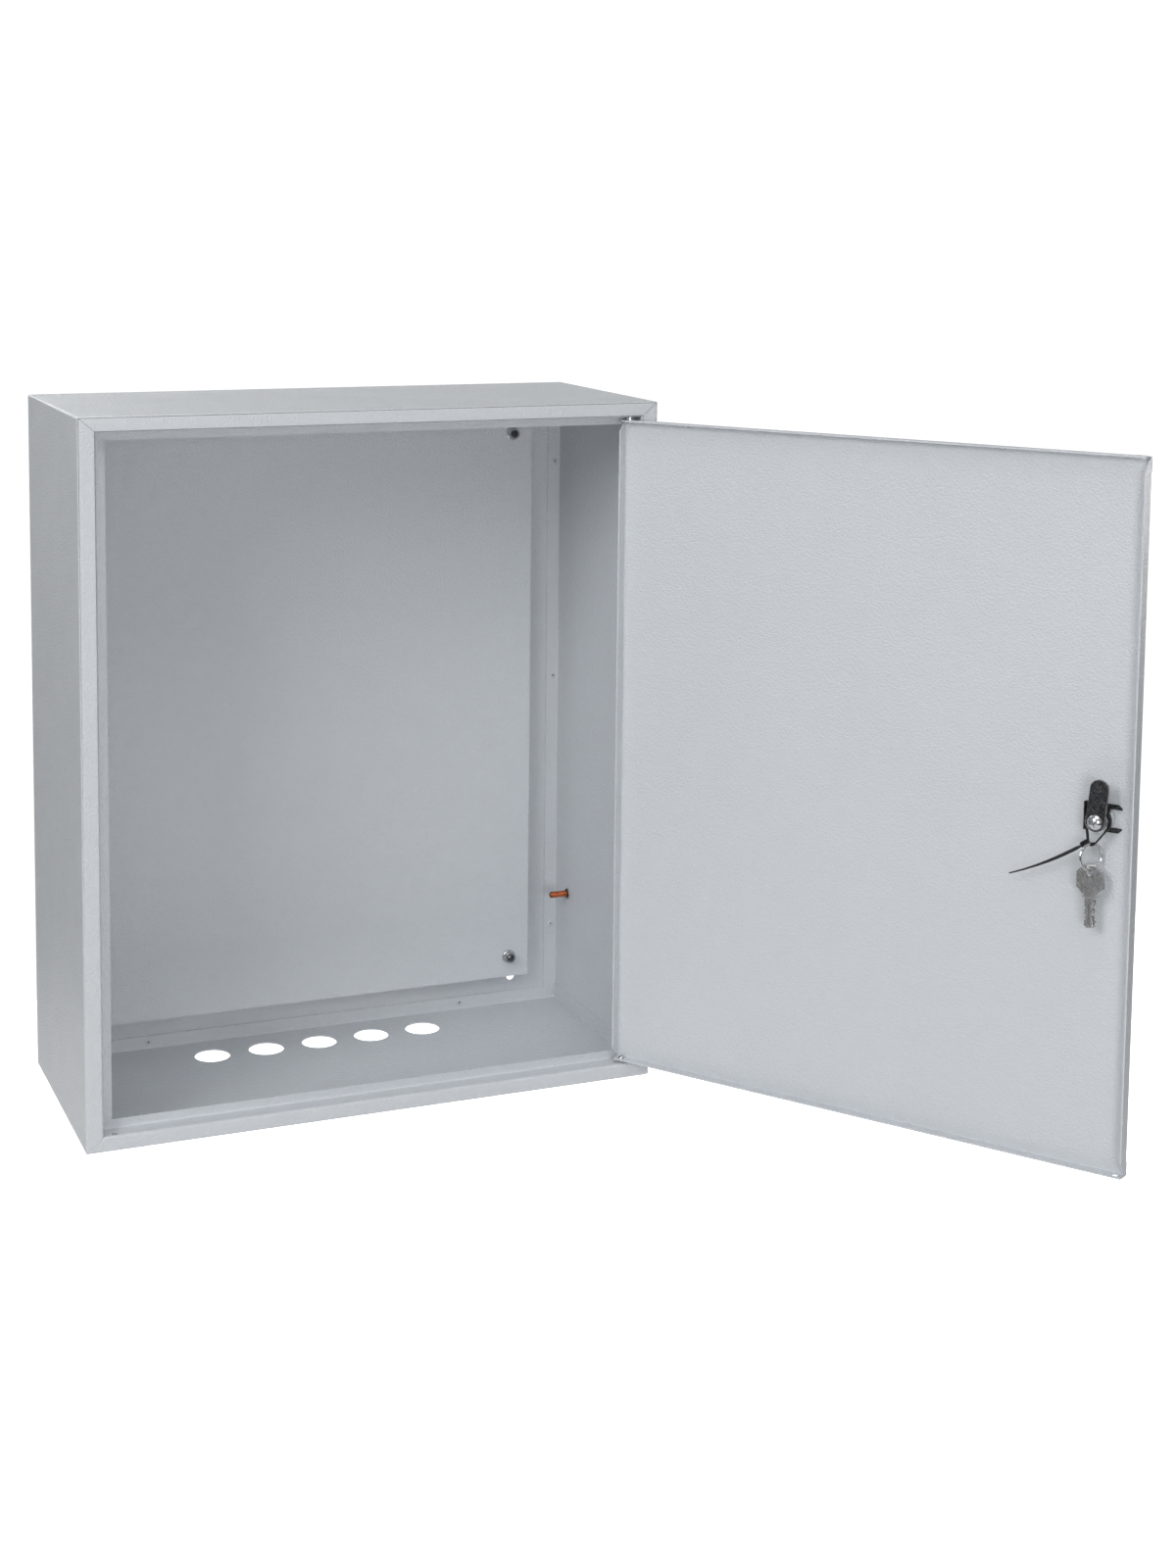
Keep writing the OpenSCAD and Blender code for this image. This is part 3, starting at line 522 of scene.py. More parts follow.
def sweep(path, normals, section, closedPath):
    # a section of (sideways, across the strap) carried along a flat path; it may change along the path
    section = np.broadcast_to(section, (len(path), *np.shape(section)[-2:]))
    flat = path[:, None, :] + normals[:, None, :] * section[..., 0:1]
    points = np.stack([flat[..., 0], section[..., 1], flat[..., 1]], -1).reshape(-1, 3)
    around = section.shape[1]
    faces = loftFaces(len(path), around, closedPath).tolist()
    if not closedPath:
        faces += [list(range(around))[::-1], list(range(len(points) - around, len(points)))]
    return points, faces


print("helpers ready")


sheetLook = dict(cutEdge=0.00012, plateEdge=0.0002)
shell = softenedCopy("shell_wrap", "cabinet_shell", "powder_coat", "cabinet", sheetLook["cutEdge"])
softenedCopy("floor_panel", "cabinet_floor", "powder_coat", "cabinet", sheetLook["cutEdge"])
softenedCopy("back_panel", "cabinet_back", "powder_coat", "cabinet", sheetLook["cutEdge"])
softenedCopy("mounting_plate", "device_plate", "powder_coat", "cabinet", sheetLook["plateEdge"])
softenedCopy("door_panel", "door_sheet", "powder_coat", "door", sheetLook["cutEdge"])


seamLook = dict(rails=(0.015, 0.013), half=0.0004, sinkFrom=0.00022, sinkTo=0.0007, past=0.0003)


def markSeamShade(piece):
    # the floor of the two mitre lines at the frame's top corners, marked for painted shade that the coat turns
    # near black:
    # points near the line from the outer to the inner corner of the frame, a little behind its face
    co = np.empty(len(piece.data.vertices) * 3)
    piece.data.vertices.foreach_get("co", co)
    co = co.reshape(-1, 3)
    low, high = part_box("shell_wrap")
    side, end = seamLook["rails"]
    inFrom = np.stack([high[0] - np.abs(co[:, 0]), high[2] - co[:, 2]], -1)
    off = np.abs(inFrom @ [end, -side]) / np.hypot(side, end)
    behind = co[:, 1] - low[1]
    sunk = (behind > seamLook["sinkFrom"]) & (behind < seamLook["sinkTo"])
    seam = (off < seamLook["half"]) & sunk & (inFrom[:, 0] < side + seamLook["past"])
    piece.data.attributes.new("seam", "FLOAT", "POINT").data.foreach_set("value", seam.astype(np.float32))


markSeamShade(shell)
print("sheets ready")


rivetLook = dict(height=0.0013, pitRadius=0.0011, pitDepth=0.0011, lip=1.5, shank=0.53, seat=0.00002,
                 reach=0.02)
stemLook = dict(share=0.82, flat=0.7, top=0.00035, shoulder=0.0003, foot=0.0004, sink=0.0001)


def rivetHead(low, high):
    # painted blind rivet: low dome with a dimple in the middle, and its shank going back
    look, radius, height = rivetLook, (high[0] - low[0]) / 2, rivetLook["height"]
    pit = np.linspace(0, 1, 8)[:, None]
    dome = domeProfile(radius, height, 0.0, 16)[:-2]
    dome = dome[dome[:, 0] > look["pitRadius"] * look["lip"]]
    bowl = np.concatenate([pit * look["pitRadius"], height - look["pitDepth"] * (1 - pit ** 4)], 1)
    shank, thin = (high[1] - low[1]) - height, radius * look["shank"]
    foot = [[radius, -look["seat"]], [thin, -look["seat"]], [thin, -shank], [0.0, -shank]]
    return placed(lathe(np.concatenate([bowl, dome, foot]), 40), frontward(low, high, low[1] + height))


def rivetStem(low, high):
    # the broken-off pulling stem, seen at the bottom of the dimple
    look, radius = stemLook, rivetLook["pitRadius"] * stemLook["share"]
    profile = [[0.0, look["top"]], [radius * look["flat"], look["shoulder"]], [radius, 0.0],
               [radius, -look["foot"]], [0.0, -look["foot"]]]
    return placed(lathe(profile, 20), frontward(low, high, low[1] + rivetLook["pitDepth"] - look["sink"]))


addPiece("flange_rivets", eachOf("frame_rivets", rivetLook["reach"], rivetHead), "powder_coat", "cabinet",
         "frame_rivets")
# the stems take the darkened zinc, painted shade at the bottom of the dimple
addPiece("rivet_stems", eachOf("frame_rivets", rivetLook["reach"], rivetStem), "dulled_zinc", "cabinet",
         "frame_rivets")

threadLook = dict(pitch=0.001, depth=0.00045)
studChamfer = 0.0007
washerLook = dict(gap=0.00015, edge=0.00015, sleeveEdge=0.0004, reach=0.05)
nutLook = dict(across=0.010, gap=0.00005, flangeHeight=0.0012, foot=0.0002, rim=0.0003, shoulder=0.0004,
               chamfer=0.0012, mouth=0.0005)


def plateStud(low, high):
    # a threaded rod that stands out of the back towards the front
    rod = threadedRod((high[0] - low[0]) / 2, high[1] - low[1], chamfer=studChamfer, **threadLook)
    return placed(rod, frontward(low, high, high[1]))


def roundWasher(low, high, hole, edge):
    # a ring with rounded corners turned about the stud
    profile = ringProfile(hole, (high[0] - low[0]) / 2, 0.0, high[1] - low[1], edge)
    return placed(lathe(profile, 64, closed=True), frontward(low, high, high[1]))


def flangeNut(low, high, bore):
    # radius over angle and level: a round flange, a sloped shoulder, then a hexagon cut by the top chamfer
    look, wide = nutLook, 1.0
    flange, height = (high[0] - low[0]) / 2, high[1] - low[1]
    half, shoulder, chamfer = look["across"] / 2, look["flangeHeight"], look["chamfer"]
    a = (np.arange(72) / 72 * 2 * pi)[None, :]
    hexagon = half / np.cos((a % (pi / 3)) - pi / 6)
    t = np.array([0.35, 0.6, 0.8, 0.93, 1.0])
    crown = np.stack([half * (1.16 - 0.16 * t ** 1.6), height - chamfer * (1 - t)], -1)
    level = np.array([[bore, 0.0], [flange - look["foot"], 0.0], [flange, look["rim"]],
                      [flange, shoulder - look["rim"]], [flange - look["rim"], shoulder],
                      [wide, shoulder + look["shoulder"]], [wide, height - chamfer], *crown,
                      [bore + look["mouth"], height], [bore, height - look["mouth"]]])
    r, h = level[:, :1], level[:, 1:]
    cut = np.where(h > shoulder + look["shoulder"] / 2, np.minimum(r, hexagon), r)
    r = np.where(r > flange, hexagon, cut)
    points = np.stack([r * np.cos(a), r * np.sin(a), h + 0 * a], -1).reshape(-1, 3)
    return placed((points, loftFaces(len(level), 72, True).tolist()), frontward(low, high, high[1]))


reach = washerLook["reach"]
low, high = placesOf("plate_studs", reach)[0]
studRadius = (high[0] - low[0]) / 2
hole = studRadius + washerLook["gap"]
# the stud threads take the darkened zinc, a painted dark reflection
addPiece("plate_stud_threads", eachOf("plate_studs", reach, plateStud),
         "dulled_zinc", "cabinet", "plate_studs")
addPiece("plate_flat_washers", eachOf("plate_washers", reach, roundWasher, hole, washerLook["edge"]),
         "zinc_plate", "cabinet", "plate_washers")
addPiece("plate_flange_nuts", eachOf("plate_nuts", reach, flangeNut, studRadius + nutLook["gap"]),
         "zinc_plate", "cabinet", "plate_nuts", sharp=28)
addPiece("plate_sleeves", eachOf("plate_spacers", reach, roundWasher, hole, washerLook["sleeveEdge"]),
         "zinc_plate", "cabinet", "plate_spacers")

earthLook = dict(chamfer=0.0009, plain=0.0045, gap=0.00015, ringRadius=0.0043, ringThick=0.0007, edge=0.0002)
low, high = map(np.array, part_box("earth_stud"))
earthRadius = (high[2] - low[2]) / 2
thread = threadedRod(earthRadius, high[0] - low[0], chamfer=earthLook["chamfer"],
                     startPlain=earthLook["plain"], **threadLook)
seat = along([high[0], *(low + high)[1:] / 2], (-1, 0, 0))
addPiece("earth_stud_thread", placed(thread, seat), "copper_plate", "cabinet", "earth_stud")

low, high = map(np.array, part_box("earth_washer"))
seat = along([high[0], *(low + high)[1:] / 2], (-1, 0, 0))
thick, bore, edge = high[0] - low[0], earthRadius + earthLook["gap"], earthLook["edge"]
washer = lathe(ringProfile(bore, (high[2] - low[2]) / 2, 0.0, thick, edge), 64, True)
addPiece("earth_foot_washer", placed(washer, seat), "zinc_plate", "cabinet", "earth_washer")
profile = ringProfile(bore, earthLook["ringRadius"], thick, thick + earthLook["ringThick"], edge)
addPiece("earth_foot_ring", placed(lathe(profile, 48, True), seat), "dark_steel", "cabinet", "earth_washer")
print("cabinet fasteners ready")

pinLook = dict(head=0.0024, shaftShare=5 / 6.8, tipPastGroove=0.0026, groove=0.001, grooveDepth=0.0005,
               chamfer=0.0004, washerBore=0.00255, washerEdge=0.00012, clipEdge=0.0001)


def hingePin(node, up):
    # domed head, shaft with a groove for its clip, and a chamfered tip, turned about the hinge axis
    low, high = map(np.array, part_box(node))
    headRadius, length = (high[0] - low[0]) / 2, high[2] - low[2]
    radius = headRadius * pinLook["shaftShare"]
    grooveAt = length - pinLook["tipPastGroove"]
    dome = domeProfile(headRadius, pinLook["head"], 0.0)[:-2] * [1, -1] + [0, pinLook["head"]]
    r, g, c = radius, radius - pinLook["grooveDepth"], pinLook["chamfer"]
    grooveEnd = grooveAt + pinLook["groove"]
    shaft = [[headRadius, pinLook["head"]], [r, pinLook["head"]], [r, grooveAt], [g, grooveAt],
             [g, grooveEnd], [r, grooveEnd], [r, length - c], [r - c, length], [0.0, length]]
    start = [(low[0] + high[0]) / 2, (low[1] + high[1]) / 2, low[2] if up else high[2]]
    return placed(lathe(np.concatenate([dome, shaft]), 48), along(start, (0, 0, 1 if up else -1), (1, 0, 0)))


def hingeWasher(low, high):
    # a thin ring with rounded corners, turned about the pin
    middle, radius = (low + high) / 2, (high[0] - low[0]) / 2
    profile = ringProfile(pinLook["washerBore"], radius, 0.0, high[2] - low[2], pinLook["washerEdge"])
    seat = along([middle[0], middle[1], low[2]], (0, 0, 1), (1, 0, 0))
    return placed(lathe(profile, 48, closed=True), seat)


addPiece("hinge_pin_upper", hingePin("hinge_pin_top", True), "zinc_plate", "door", "hinge_pin_top")
addPiece("hinge_pin_lower", hingePin("hinge_pin_bottom", False), "zinc_plate", "door", "hinge_pin_bottom")
addPiece("hinge_spacing_washers", eachOf("hinge_washers", reach, hingeWasher), "zinc_plate", "door",
         "hinge_washers")
softenedCopy("hinge_clips", "hinge_snap_clips", "dark_steel", "door", pinLook["clipEdge"])
print("hinges ready")


# the lock's own axes: X towards the hinge, Y into the closed cabinet, Z up, from the door's outer face

inward = -unit(joints["cam_turn"]["axis"])
lockSeat = (np.array(joints["cam_turn"]["pos_m"]), np.stack([[inward[1], -inward[0], 0], inward, [0, 0, 1]]))


def localBox(node, seat):
    local = (coordsOf(node) - seat[0]) @ seat[1].T
    return local.min(0), local.max(0)


def turnedSeat(seat, degrees, axis=(0, 1, 0), middle=(0, 0, 0)):
    # a seat moved to a point of another one and turned there about one of its axes
    turn = np.array(Matrix.Rotation(radians(degrees), 3, axis))
    return np.asarray(middle) @ seat[1] + seat[0], turn.T @ seat[1]


def facing(shape, depth):
    # a turned shape's Z laid along Y, starting at a depth
    points, faces = shape
    return points[:, [0, 2, 1]] + [0, depth, 0], faces


bodyLook = dict(
    radius=0.009, flat=0.008, grooveFrom=0.0012, grooveTo=0.0023, grooveFlat=0.0072, bore=0.00604,
    sink=0.0002, endBevel=0.0005, endTurn=0.00015, clipEdge=0.00018, plugEdge=0.0001,
    headRadius=0.011, headThick=0.0025, headEdge=0.0003, crownWide=0.0012, crownTall=0.0013, mouth=0.0006,
    headSeat=0.00005,
)


def lockBody():
    # rings at rising depth, each a circle cut by two flats, then the bore's ring back to the start;
    # in front of it a turned rosette, whose crown is a quarter of an ellipse
    b, end = bodyLook, localBox("lock_barrel", lockSeat)[1][1]
    a = (np.arange(120) / 120 * 2 * pi)[None, :]
    level = np.array([[b["sink"], 0.0, b["flat"]], [b["grooveFrom"], 0.0, b["flat"]],
                      [b["grooveFrom"], 0.0, b["grooveFlat"]], [b["grooveTo"], 0.0, b["grooveFlat"]],
                      [b["grooveTo"], 0.0, b["flat"]], [end - b["endBevel"], 0.0, b["flat"]],
                      [end - b["endTurn"], b["endTurn"], b["flat"] - b["endTurn"]],
                      [end, b["endBevel"], b["flat"] - b["endBevel"]]])
    x = (b["radius"] - level[:, 1:2]) * np.cos(a)
    z = np.clip((b["radius"] - level[:, 1:2]) * np.sin(a), -level[:, 2:], level[:, 2:])
    outer = np.stack([x, level[:, :1] + 0 * a, z], -1)
    ring = np.concatenate([b["bore"] * np.cos(a), 0 * a, b["bore"] * np.sin(a)]).T
    points = np.concatenate([outer.reshape(-1, 3), ring + [0, end, 0], ring + [0, b["sink"], 0]])
    barrel = points, loftFaces(len(level) + 2, 120, True).tolist()
    t = np.linspace(0, pi / 2, 6)[:, None]
    crown = np.concatenate([b["headRadius"] - b["crownWide"] * (1 - np.cos(t)),
                            b["headThick"] - b["crownTall"] * (1 - np.sin(t))], 1)
    rosette = np.concatenate([
        [[b["bore"], b["headSeat"]], [b["headRadius"] - b["headEdge"], b["headSeat"]],
         [b["headRadius"], b["headEdge"]]], crown,
        [[b["bore"] + b["mouth"], b["headThick"]], [b["bore"], b["headThick"] - b["mouth"]]]])
    return joined([barrel, facing(lathe(rosette * [1, -1], 96, closed=True), 0.0)])


addPiece("lock_body", placed(lockBody(), lockSeat), "chrome", "door", "lock_barrel")
softenedCopy("lock_clip", "lock_spring_clip", "dark_steel", "door", bodyLook["clipEdge"])
softenedCopy("lock_plug", "lock_core_plug", "chrome", "lock_core", bodyLook["plugEdge"])

camLook = dict(lean=6.0, edge=0.00045, hole=0.00405, holeCorner=0.0005, highlightReach=0.8)
camSeat = turnedSeat(lockSeat, -camLook["lean"])


def lockCam():
    # a bar with round ends and a square hole, every edge rounded over; the painted edge highlight fades away from
    # the rim
    low, high = localBox("lock_cam", camSeat)
    half, top, hole = high[0], high[2] - high[0], camLook["hole"]
    a = np.linspace(0, pi, 33)
    outline = np.concatenate([np.stack([half * np.cos(a), top + half * np.sin(a)], -1),
                              np.stack([-half * np.cos(a), -half * np.sin(a)], -1)])
    corners = [[-hole, -hole], [-hole, hole], [hole, hole], [hole, -hole]]
    square = roundedLoop(corners, camLook["holeCorner"], 3)
    points, faces = slab(outline, high[1] - low[1], camLook["edge"], [square])
    apart = half - np.hypot(points[:, 0], points[:, 2] - np.clip(points[:, 2], 0, top))
    rim = np.clip(1 - apart / (camLook["highlightReach"] * camLook["edge"]), 0, 1)
    return (points + [0, low[1], 0], faces), rim


cam, camRimHighlight = lockCam()
addPiece("lock_cam_bar", placed(cam, camSeat), "dark_steel", "lock_core", "lock_cam", rim=camRimHighlight)

screwLook = dict(head=0.003, shank=0.002, arm=0.0033, armHalf=0.00055, recess=0.0013, crossTurn=20.0,
                 acrossSlope=0.00018, outSlope=0.0003, rise=0.45, washerBore=0.00215, washerEdge=0.0002)
low, high = localBox("cam_washer", lockSeat)
profile = ringProfile(screwLook["washerBore"], high[0], 0.0, high[1] - low[1], screwLook["washerEdge"])
# the washer takes the darkened zinc, painted shade
addPiece("cam_flat_washer", placed(facing(lathe(profile, 64, True), low[1]), lockSeat), "dulled_zinc",
         "lock_core", "cam_washer")


def crossArm(across, out):
    # 1 inside one arm of the cross, falling to 0 over a short slope at its sides and its end
    side = np.clip((screwLook["armHalf"] - across) / screwLook["acrossSlope"] + 0.5, 0, 1)
    return side * np.clip((screwLook["arm"] - out) / screwLook["outSlope"] + 0.5, 0, 1)


def camScrew():
    # height over radius and angle: a ball's cap less a cross that gets shallower outwards
    low, high = localBox("cam_screw", lockSeat)
    head, radius, shank, rings, around = screwLook["head"], high[0], screwLook["shank"], 46, 128
    ball = (radius ** 2 + head ** 2) / (2 * head)
    r = radius * np.linspace(0, 1, rings)[:, None]
    a = (np.arange(around) / around * 2 * pi)[None, :]
    turn = a + radians(screwLook["crossTurn"])
    u, v = np.abs(r * np.cos(turn)), np.abs(r * np.sin(turn))
    fade = 1 - screwLook["rise"] * r / screwLook["arm"]
    dip = np.maximum(crossArm(u, v), crossArm(v, u)) * screwLook["recess"] * fade
    h = head - ball + np.sqrt(ball ** 2 - r ** 2) - dip
    dome = np.stack([r * np.cos(a), r * np.sin(a), h + 0 * a], -1).reshape(-1, 3)
    tip = low[1] - high[1] + head
    below = lathe([[radius, 0.0], [shank, 0.0], [shank, tip], [0, tip]], around)[0]
    return facing((np.concatenate([dome, below]), loftFaces(rings + 4, around).tolist()), high[1] - head)


addPiece("cam_dome_screw", placed(camScrew(), lockSeat), "zinc_plate", "lock_core", "cam_screw", sharp=40)
print("lock ready")


tieLook = dict(width=0.0036, thick=0.0011, loopRadius=0.00985, bendRadius=0.00295, bend=(0.0047, -0.0175),
               tail=0.070, narrowing=0.62, twist=32.0, toothPitch=0.00095, toothDepth=0.00016)
headLook = dict(size=(0.0062, 0.0054), turn=-35.0, at=(0.0097, -0.0199), proud=0.0009, corner=0.0009,
                edge=0.0006, window=(0.30, -0.26, 0.2), windowCorner=0.0003, windowDepth=0.0012)
tieDepth = (np.array(joints["ring_swing"]["pos_m"]) - lockSeat[0]) @ inward


def strapSection(thick, width, corner=0.00028):
    # rounded rectangle, thick along the path's normal and wide across it
    box = np.array([[1, -1], [1, 1], [-1, 1], [-1, -1]]) / 2
    return np.stack([roundedLoop(box * [t, w], corner, 3) for t, w in np.broadcast(thick, width)])


def tieStrap():
    # a belt round the lock body and a small bend below it, where both arcs share their end normals
    bend, big, small = np.array(tieLook["bend"]), tieLook["loopRadius"], tieLook["bendRadius"]
    towards, lean = np.arctan2(bend[1], bend[0]), np.arccos((big - small) / np.hypot(*bend))
    long, short = 72, 24
    a = np.concatenate([np.linspace(towards + lean, towards + 2 * pi - lean, long),
                        np.linspace(towards - lean, towards + lean, short)])
    normals = np.stack([np.cos(a), np.sin(a)], -1)
    onBelt = (np.arange(long + short) < long)[:, None]
    path = normals * np.where(onBelt, big, small) + np.where(onBelt, 0, bend)
    return sweep(path, normals, strapSection([tieLook["thick"]], [tieLook["width"]]), True)


def tieTail():
    # the free end droops, flattens out and twists; it narrows to its tip and has fine teeth on one face
    f = np.linspace(0, 1, 420)
    path = tieLook["tail"] * np.stack([0.88 * f, -0.62 * f + 0.14 * f ** 2], -1) + headLook["at"]
    ahead = unit(np.gradient(path, axis=0))
    normals = np.stack([-ahead[:, 1], ahead[:, 0]], -1)
    narrow = 1 - tieLook["narrowing"] * np.clip((f - 0.25) / 0.75, 0, 1) ** 1.2
    section = strapSection(tieLook["thick"] * (0.55 + 0.45 * narrow), tieLook["width"] * narrow)
    s = np.cumsum(np.linalg.norm(np.diff(path, axis=0, prepend=path[:1]), axis=1))
    teeth = tieLook["toothDepth"] * (s / tieLook["toothPitch"] % 1.0) * np.clip((0.86 - f) / 0.02, 0, 1)
    section[:, :, 0] += np.where(section[:, :, 0] < 0, teeth[:, None], 0)
    turned = np.clip(f / 0.12, 0, 1) - 0.6 * np.clip((f - 0.4) / 0.6, 0, 1)
    twist = radians(tieLook["twist"]) * turned[:, None]
    section = np.stack([section[..., 0] * np.cos(twist) - section[..., 1] * np.sin(twist),
                        section[..., 0] * np.sin(twist) + section[..., 1] * np.cos(twist)], -1)
    return sweep(path, normals, section, False)


def tieHead():
    # the locking head: a rounded block with the strap's window sunk into both sides
    look, (w, h) = headLook, headLook["size"]
    block = roundedLoop(np.array([[-w, -h], [w, -h], [w, h], [-w, h]]) / 2, look["corner"], 6)
    thick = tieLook["width"] + 2 * look["proud"]
    side, low, high = look["window"][0] * w, look["window"][1] * h, look["window"][2] * h
    window = roundedLoop([[-side, low], [side, low], [side, high], [-side, high]], look["windowCorner"], 3)
    pockets = [(window, look["windowDepth"], side) for side in ("front", "back")]
    points, faces = slab(block, thick, look["edge"], pockets=pockets)
    turn = np.array(Matrix.Rotation(radians(-look["turn"]), 3, "Y"))
    x, z = look["at"]
    return points @ turn.T + [x, -thick / 2, z], faces


tieSeat = turnedSeat(lockSeat, 0, middle=(0, tieDepth, 0))
addPiece("black_cable_tie", placed(joined([tieStrap(), tieTail(), tieHead()]), tieSeat),
         "black_nylon", "door", "cable_tie")
print("cable tie ready")


ringLook = dict(turn=-30.0, inset=0.0008, wide=0.00078, tall=0.00038, apart=0.00040, coils=2.0,
                start=2.4, crossFrom=0.88, crossOver=0.24, squareness=0.6)


def splitRing():
    # two coils side by side: the axial place swaps sides over a short stretch, as the wire crosses over
    look, rings, around = ringLook, 260, 16
    low, high = localBox("key_ring", lockSeat)
    middle, radius = (low + high) / 2, (high[2] - low[2]) / 2 - look["inset"]
    t = np.linspace(0, look["coils"], rings)
    a = t * 2 * pi + look["start"]
    swap = np.clip((t - look["crossFrom"]) / look["crossOver"], 0, 1)
    axial = look["apart"] * (2 * swap * swap * (3 - 2 * swap) - 1)
    out = np.stack([0 * a, np.cos(a), np.sin(a)], -1)
    p = np.arange(around) / around * 2 * pi
    wide = np.sign(np.cos(p)) * np.abs(np.cos(p)) ** look["squareness"] * look["wide"]
    tall = np.sign(np.sin(p)) * np.abs(np.sin(p)) ** look["squareness"] * look["tall"]
    sideways = (axial[:, None] + tall)[..., None] * [1, 0, 0]
    points = (out[:, None] * (radius + wide[None, :, None]) + sideways).reshape(-1, 3)
    ends = [list(range(around))[::-1], list(range((rings - 1) * around, rings * around))]
    shape = points, loftFaces(rings, around).tolist() + ends
    return placed(shape, turnedSeat(lockSeat, look["turn"], (0, 0, 1), middle))


addPiece("split_key_ring", splitRing(), "bright_nickel", "ring", "key_ring")

keyLook = dict(
    bowWide=0.0215, bowTall=0.025, corner=0.29, holeRadius=0.0025, holeDrop=0.0014, above=0.0045,
    neckWide=0.0112, neck=0.0012, shoulder=0.0008, bladeWide=0.0075, blade=0.0255, thick=0.002, edge=0.0004,
    cuts=(0.0004, 0.0013, 0.0007, 0.0015, 0.0009, 0.0005), cutStart=0.0042, tip=0.0022, softCorner=0.0004,
    plateWide=0.0118, plateTall=0.0072, plateDrop=0.0118, plateCorner=0.0006, plateDepth=0.0003,
    groove=(-0.0004, 0.0018), grooveDrop=0.002, grooveStop=0.0016, grooveCorner=0.0003, grooveDepth=0.0007,
)
keyPlaces = dict(
    key_front=dict(name="flat_key_front", body="front_key", gap=0.00015, lean=0.0),
    key_rear=dict(name="flat_key_rear", body="rear_key", gap=-0.00215, lean=3.0),
)
ringDrop = -0.0402


def keyOutline():
    # right side from the top down to the tip, then its mirror image; each cut is a notch with sloping flanks
    k = keyLook
    top, half, bevel = k["above"], k["bowWide"] / 2, k["corner"] * k["bowWide"]
    foot = top - k["bowTall"]
    neckEnd, tip, side = foot - k["neck"], foot - k["blade"], k["bladeWide"] / 2
    right = [(half - bevel, top), (half, top - bevel), (half, foot + bevel), (half - bevel, foot),
             (k["neckWide"] / 2, foot), (k["neckWide"] / 2, neckEnd), (side, neckEnd - k["shoulder"])]
    start = neckEnd - k["cutStart"]
    pitch = (start - tip - k["tip"]) / len(k["cuts"])
    for i, cut in enumerate(k["cuts"]):
        y = start - i * pitch
        right += [(side, y), (side - cut, y - 0.35 * pitch), (side - cut, y - 0.6 * pitch)]
    right += [(side, tip + k["tip"]), (side * 0.45, tip)]
    right = np.array(right)
    return np.concatenate([right[::-1], right * [-1, 1]])


def clockwiseBox(left, right, low, high, corner, steps):
    # a rectangle with rounded corners, run clockwise, as holes and pockets are
    return roundedLoop([[left, high], [right, high], [right, low], [left, low]], corner, steps)


def flatKey():
    # the outline as a plate, with a hole, a sunk label on both sides and a groove on each side of the blade
    k = keyLook
    outline = roundedLoop(keyOutline(), k["softCorner"], 4)
    hole = circleLoop((0, -k["holeDrop"]), k["holeRadius"])
    w, h, y = k["plateWide"] / 2, k["plateTall"] / 2, -k["plateDrop"]
    label = clockwiseBox(-w, w, y - h, y + h, k["plateCorner"], 4)
    foot = k["above"] - k["bowTall"]
    groove = clockwiseBox(*k["groove"], foot - k["blade"] + k["grooveStop"], foot - k["grooveDrop"],
                          k["grooveCorner"], 3)
    other = (groove * [-1, 1])[::-1]
    pockets = [(label, k["plateDepth"], "front"), (groove, k["grooveDepth"], "front"),
               (label, k["plateDepth"], "back"), (other, k["grooveDepth"], "back")]
    return slab(outline, k["thick"], k["edge"], [hole], pockets, steps=3)


for node, key in keyPlaces.items():
    points, faces = flatKey()
    points = points @ np.array(Matrix.Rotation(radians(key["lean"]), 3, "Y")).T
    points = points + [tieLook["bend"][0], tieDepth + key["gap"], ringDrop]
    addPiece(key["name"], placed((points, faces), lockSeat), "nickel_plate", key["body"], node)
print("keys ready")

viewLook = dict(place=(-0.6096, -2.0767, 0.4803), turn=22.218, down=6.252, roll=0.522,
                lens=54.74, shift=(0.025, -0.2125))
camera = bpy.data.objects.new("view", bpy.data.cameras.new("view"))
camera.data.sensor_width = 36.0
camera.data.lens = viewLook["lens"]
camera.data.shift_x, camera.data.shift_y = viewLook["shift"]
camera.matrix_world = (Matrix.Translation(viewLook["place"])
                       @ Matrix.Rotation(radians(-viewLook["turn"]), 4, "Z")
                       @ Matrix.Rotation(radians(90 - viewLook["down"]), 4, "X")
                       @ Matrix.Rotation(radians(viewLook["roll"]), 4, "Z"))
bpy.context.scene.collection.objects.link(camera)
bpy.context.scene.camera = camera

# each box: degrees from the front towards +X, degrees up, size in metres and watts
studio = dict(
    floorDrop=0.9, floorHalf=2.75, floorGrey=0.8, boxDistance=3.2, target=(0.1, -0.2, 0.0),
    dark=0.0, horizon=-0.34, light=0.28, lightFrom=0.0, shown=1.05,
    boxes=dict(key=(-57, 28, 1.5, 38.0), front=(-10, 5, 1.0, 23.0), top=(-10, 62, 2.0, 24.0),
               back=(-160, 36, 2.2, 50.0), side=(112, 14, 2.2, 42.0)),
)


def softBox(name, turn, rise, size, watts):
    # a disk light on a ball round the target, facing the target
    turn, rise = radians(turn), radians(rise)
    out = np.array([np.sin(turn) * np.cos(rise), -np.cos(turn) * np.cos(rise), np.sin(rise)])
    lamp = bpy.data.objects.new(name + "_light", bpy.data.lights.new(name, "AREA"))
    lamp.data.shape = "DISK"
    lamp.data.size = size
    lamp.data.energy = watts
    origin, axes = along(studio["target"] + studio["boxDistance"] * out, out)
    lamp.matrix_world = Matrix.Translation(origin) @ Matrix(axes.T.tolist()).to_4x4()
    lamp.visible_camera = False
    bpy.context.scene.collection.objects.link(lamp)


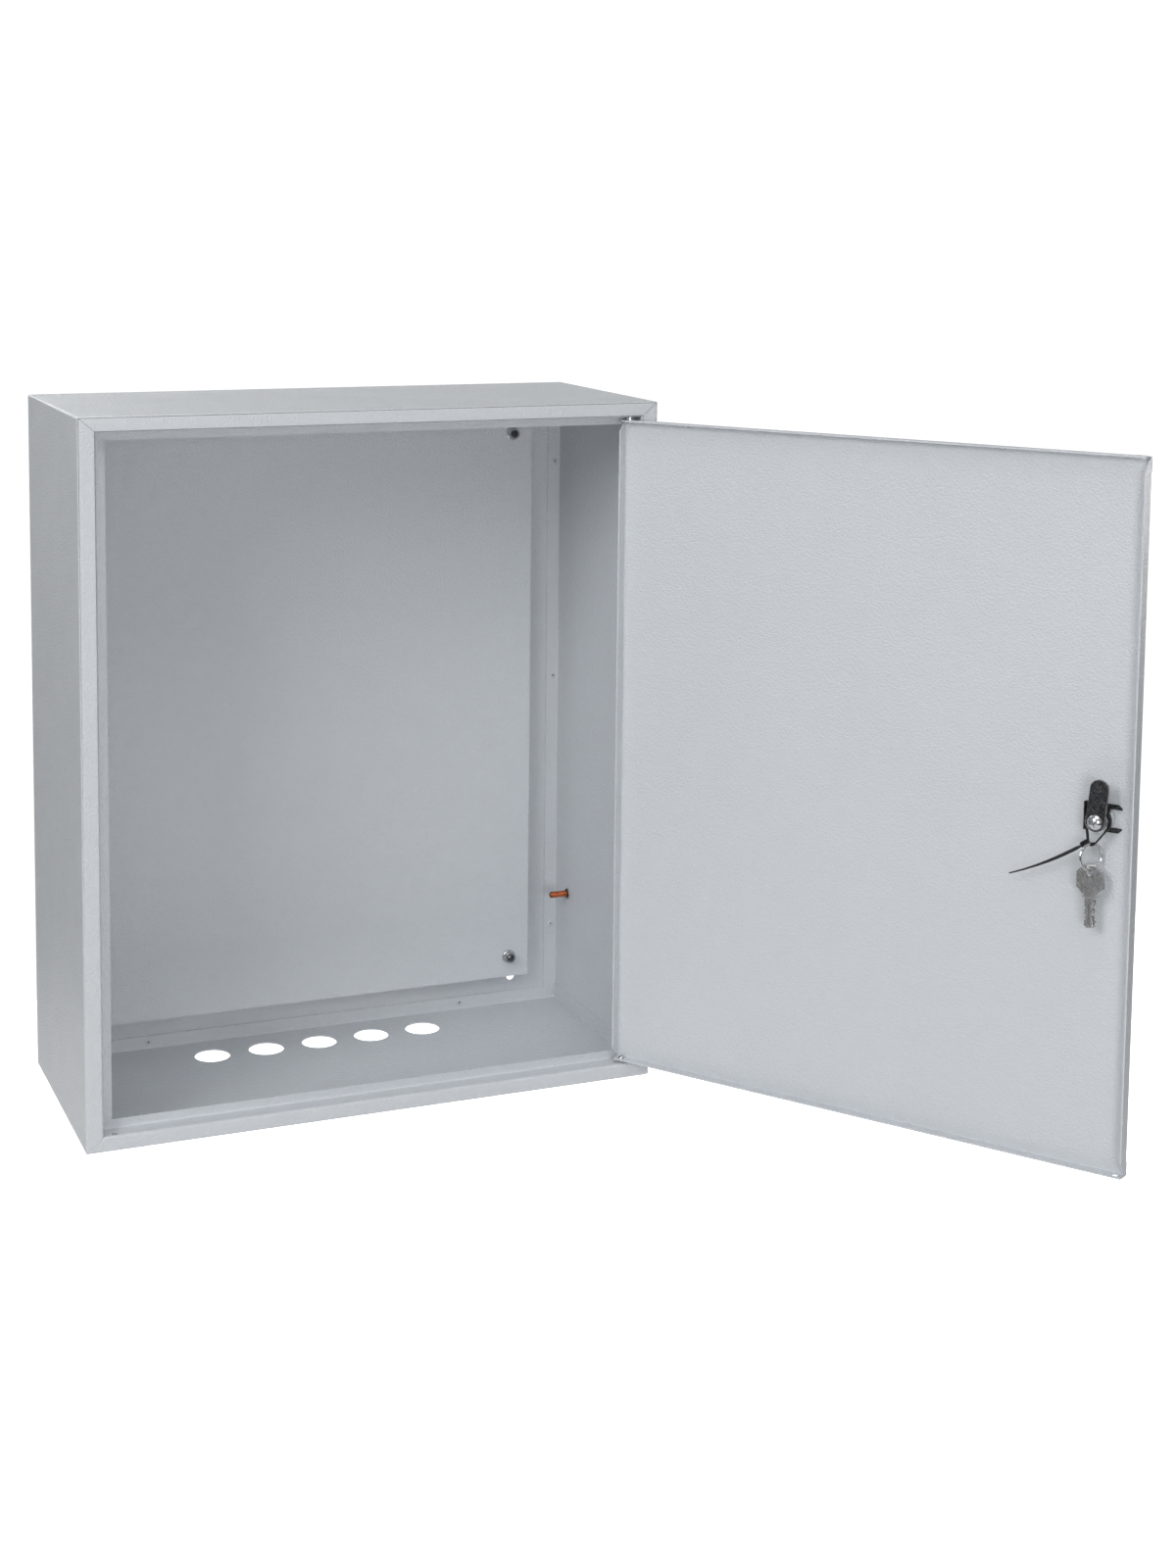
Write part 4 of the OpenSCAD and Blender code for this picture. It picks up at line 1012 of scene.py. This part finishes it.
for name, box in studio["boxes"].items():
    softBox(name, *box)

world = bpy.data.worlds.new("studio")
bpy.context.scene.world = world
world.use_nodes = True
tree = world.node_tree
tree.nodes.clear()
ray = addNode(tree, "ShaderNodeLightPath")
place = addNode(tree, "ShaderNodeTexCoord")
split = addNode(tree, "ShaderNodeSeparateXYZ")
rise = addNode(tree, "ShaderNodeMapRange", {"From Min": studio["horizon"], "From Max": studio["lightFrom"],
                                            "To Min": studio["dark"], "To Max": studio["light"]})
shown = addNode(tree, "ShaderNodeBackground", {"Color": (1, 1, 1, 1), "Strength": studio["shown"]})
lit = addNode(tree, "ShaderNodeBackground", {"Color": (1, 1, 1, 1)})
mix = addNode(tree, "ShaderNodeMixShader")
end = addNode(tree, "ShaderNodeOutputWorld")
tree.links.new(place.outputs["Generated"], split.inputs["Vector"])
tree.links.new(split.outputs["Z"], rise.inputs["Value"])
tree.links.new(rise.outputs["Result"], lit.inputs["Strength"])
tree.links.new(ray.outputs["Is Camera Ray"], mix.inputs["Fac"])
tree.links.new(lit.outputs["Background"], mix.inputs[1])
tree.links.new(shown.outputs["Background"], mix.inputs[2])
tree.links.new(mix.outputs["Shader"], end.inputs["Surface"])

bpy.context.scene.view_settings.view_transform = "Standard"
bpy.context.scene.view_settings.look = "None"

floorMesh = bpy.data.meshes.new("floor")
half, level = studio["floorHalf"], cadBox[0][2] - studio["floorDrop"]
corners = [(-half, -half, level), (half, -half, level), (half, half, level), (-half, half, level)]
floorMesh.from_pydata(corners, [], [(0, 1, 2, 3)])
floor = bpy.data.objects.new("floor", floorMesh)
bpy.context.scene.collection.objects.link(floor)
grey = studio["floorGrey"]
paleFloor, tree, shader = newFinish("pale_floor", **{
    "Base Color": (grey, grey, grey, 1), "Roughness": 0.9, "Emission Color": (1, 1, 1, 1)})
# bright for the camera alone, so that the floor's far edge melts into white
ray = addNode(tree, "ShaderNodeLightPath")
tree.links.new(ray.outputs["Is Camera Ray"], shader.inputs["Emission Strength"])
floorMesh.materials.append(paleFloor)
print("studio ready")
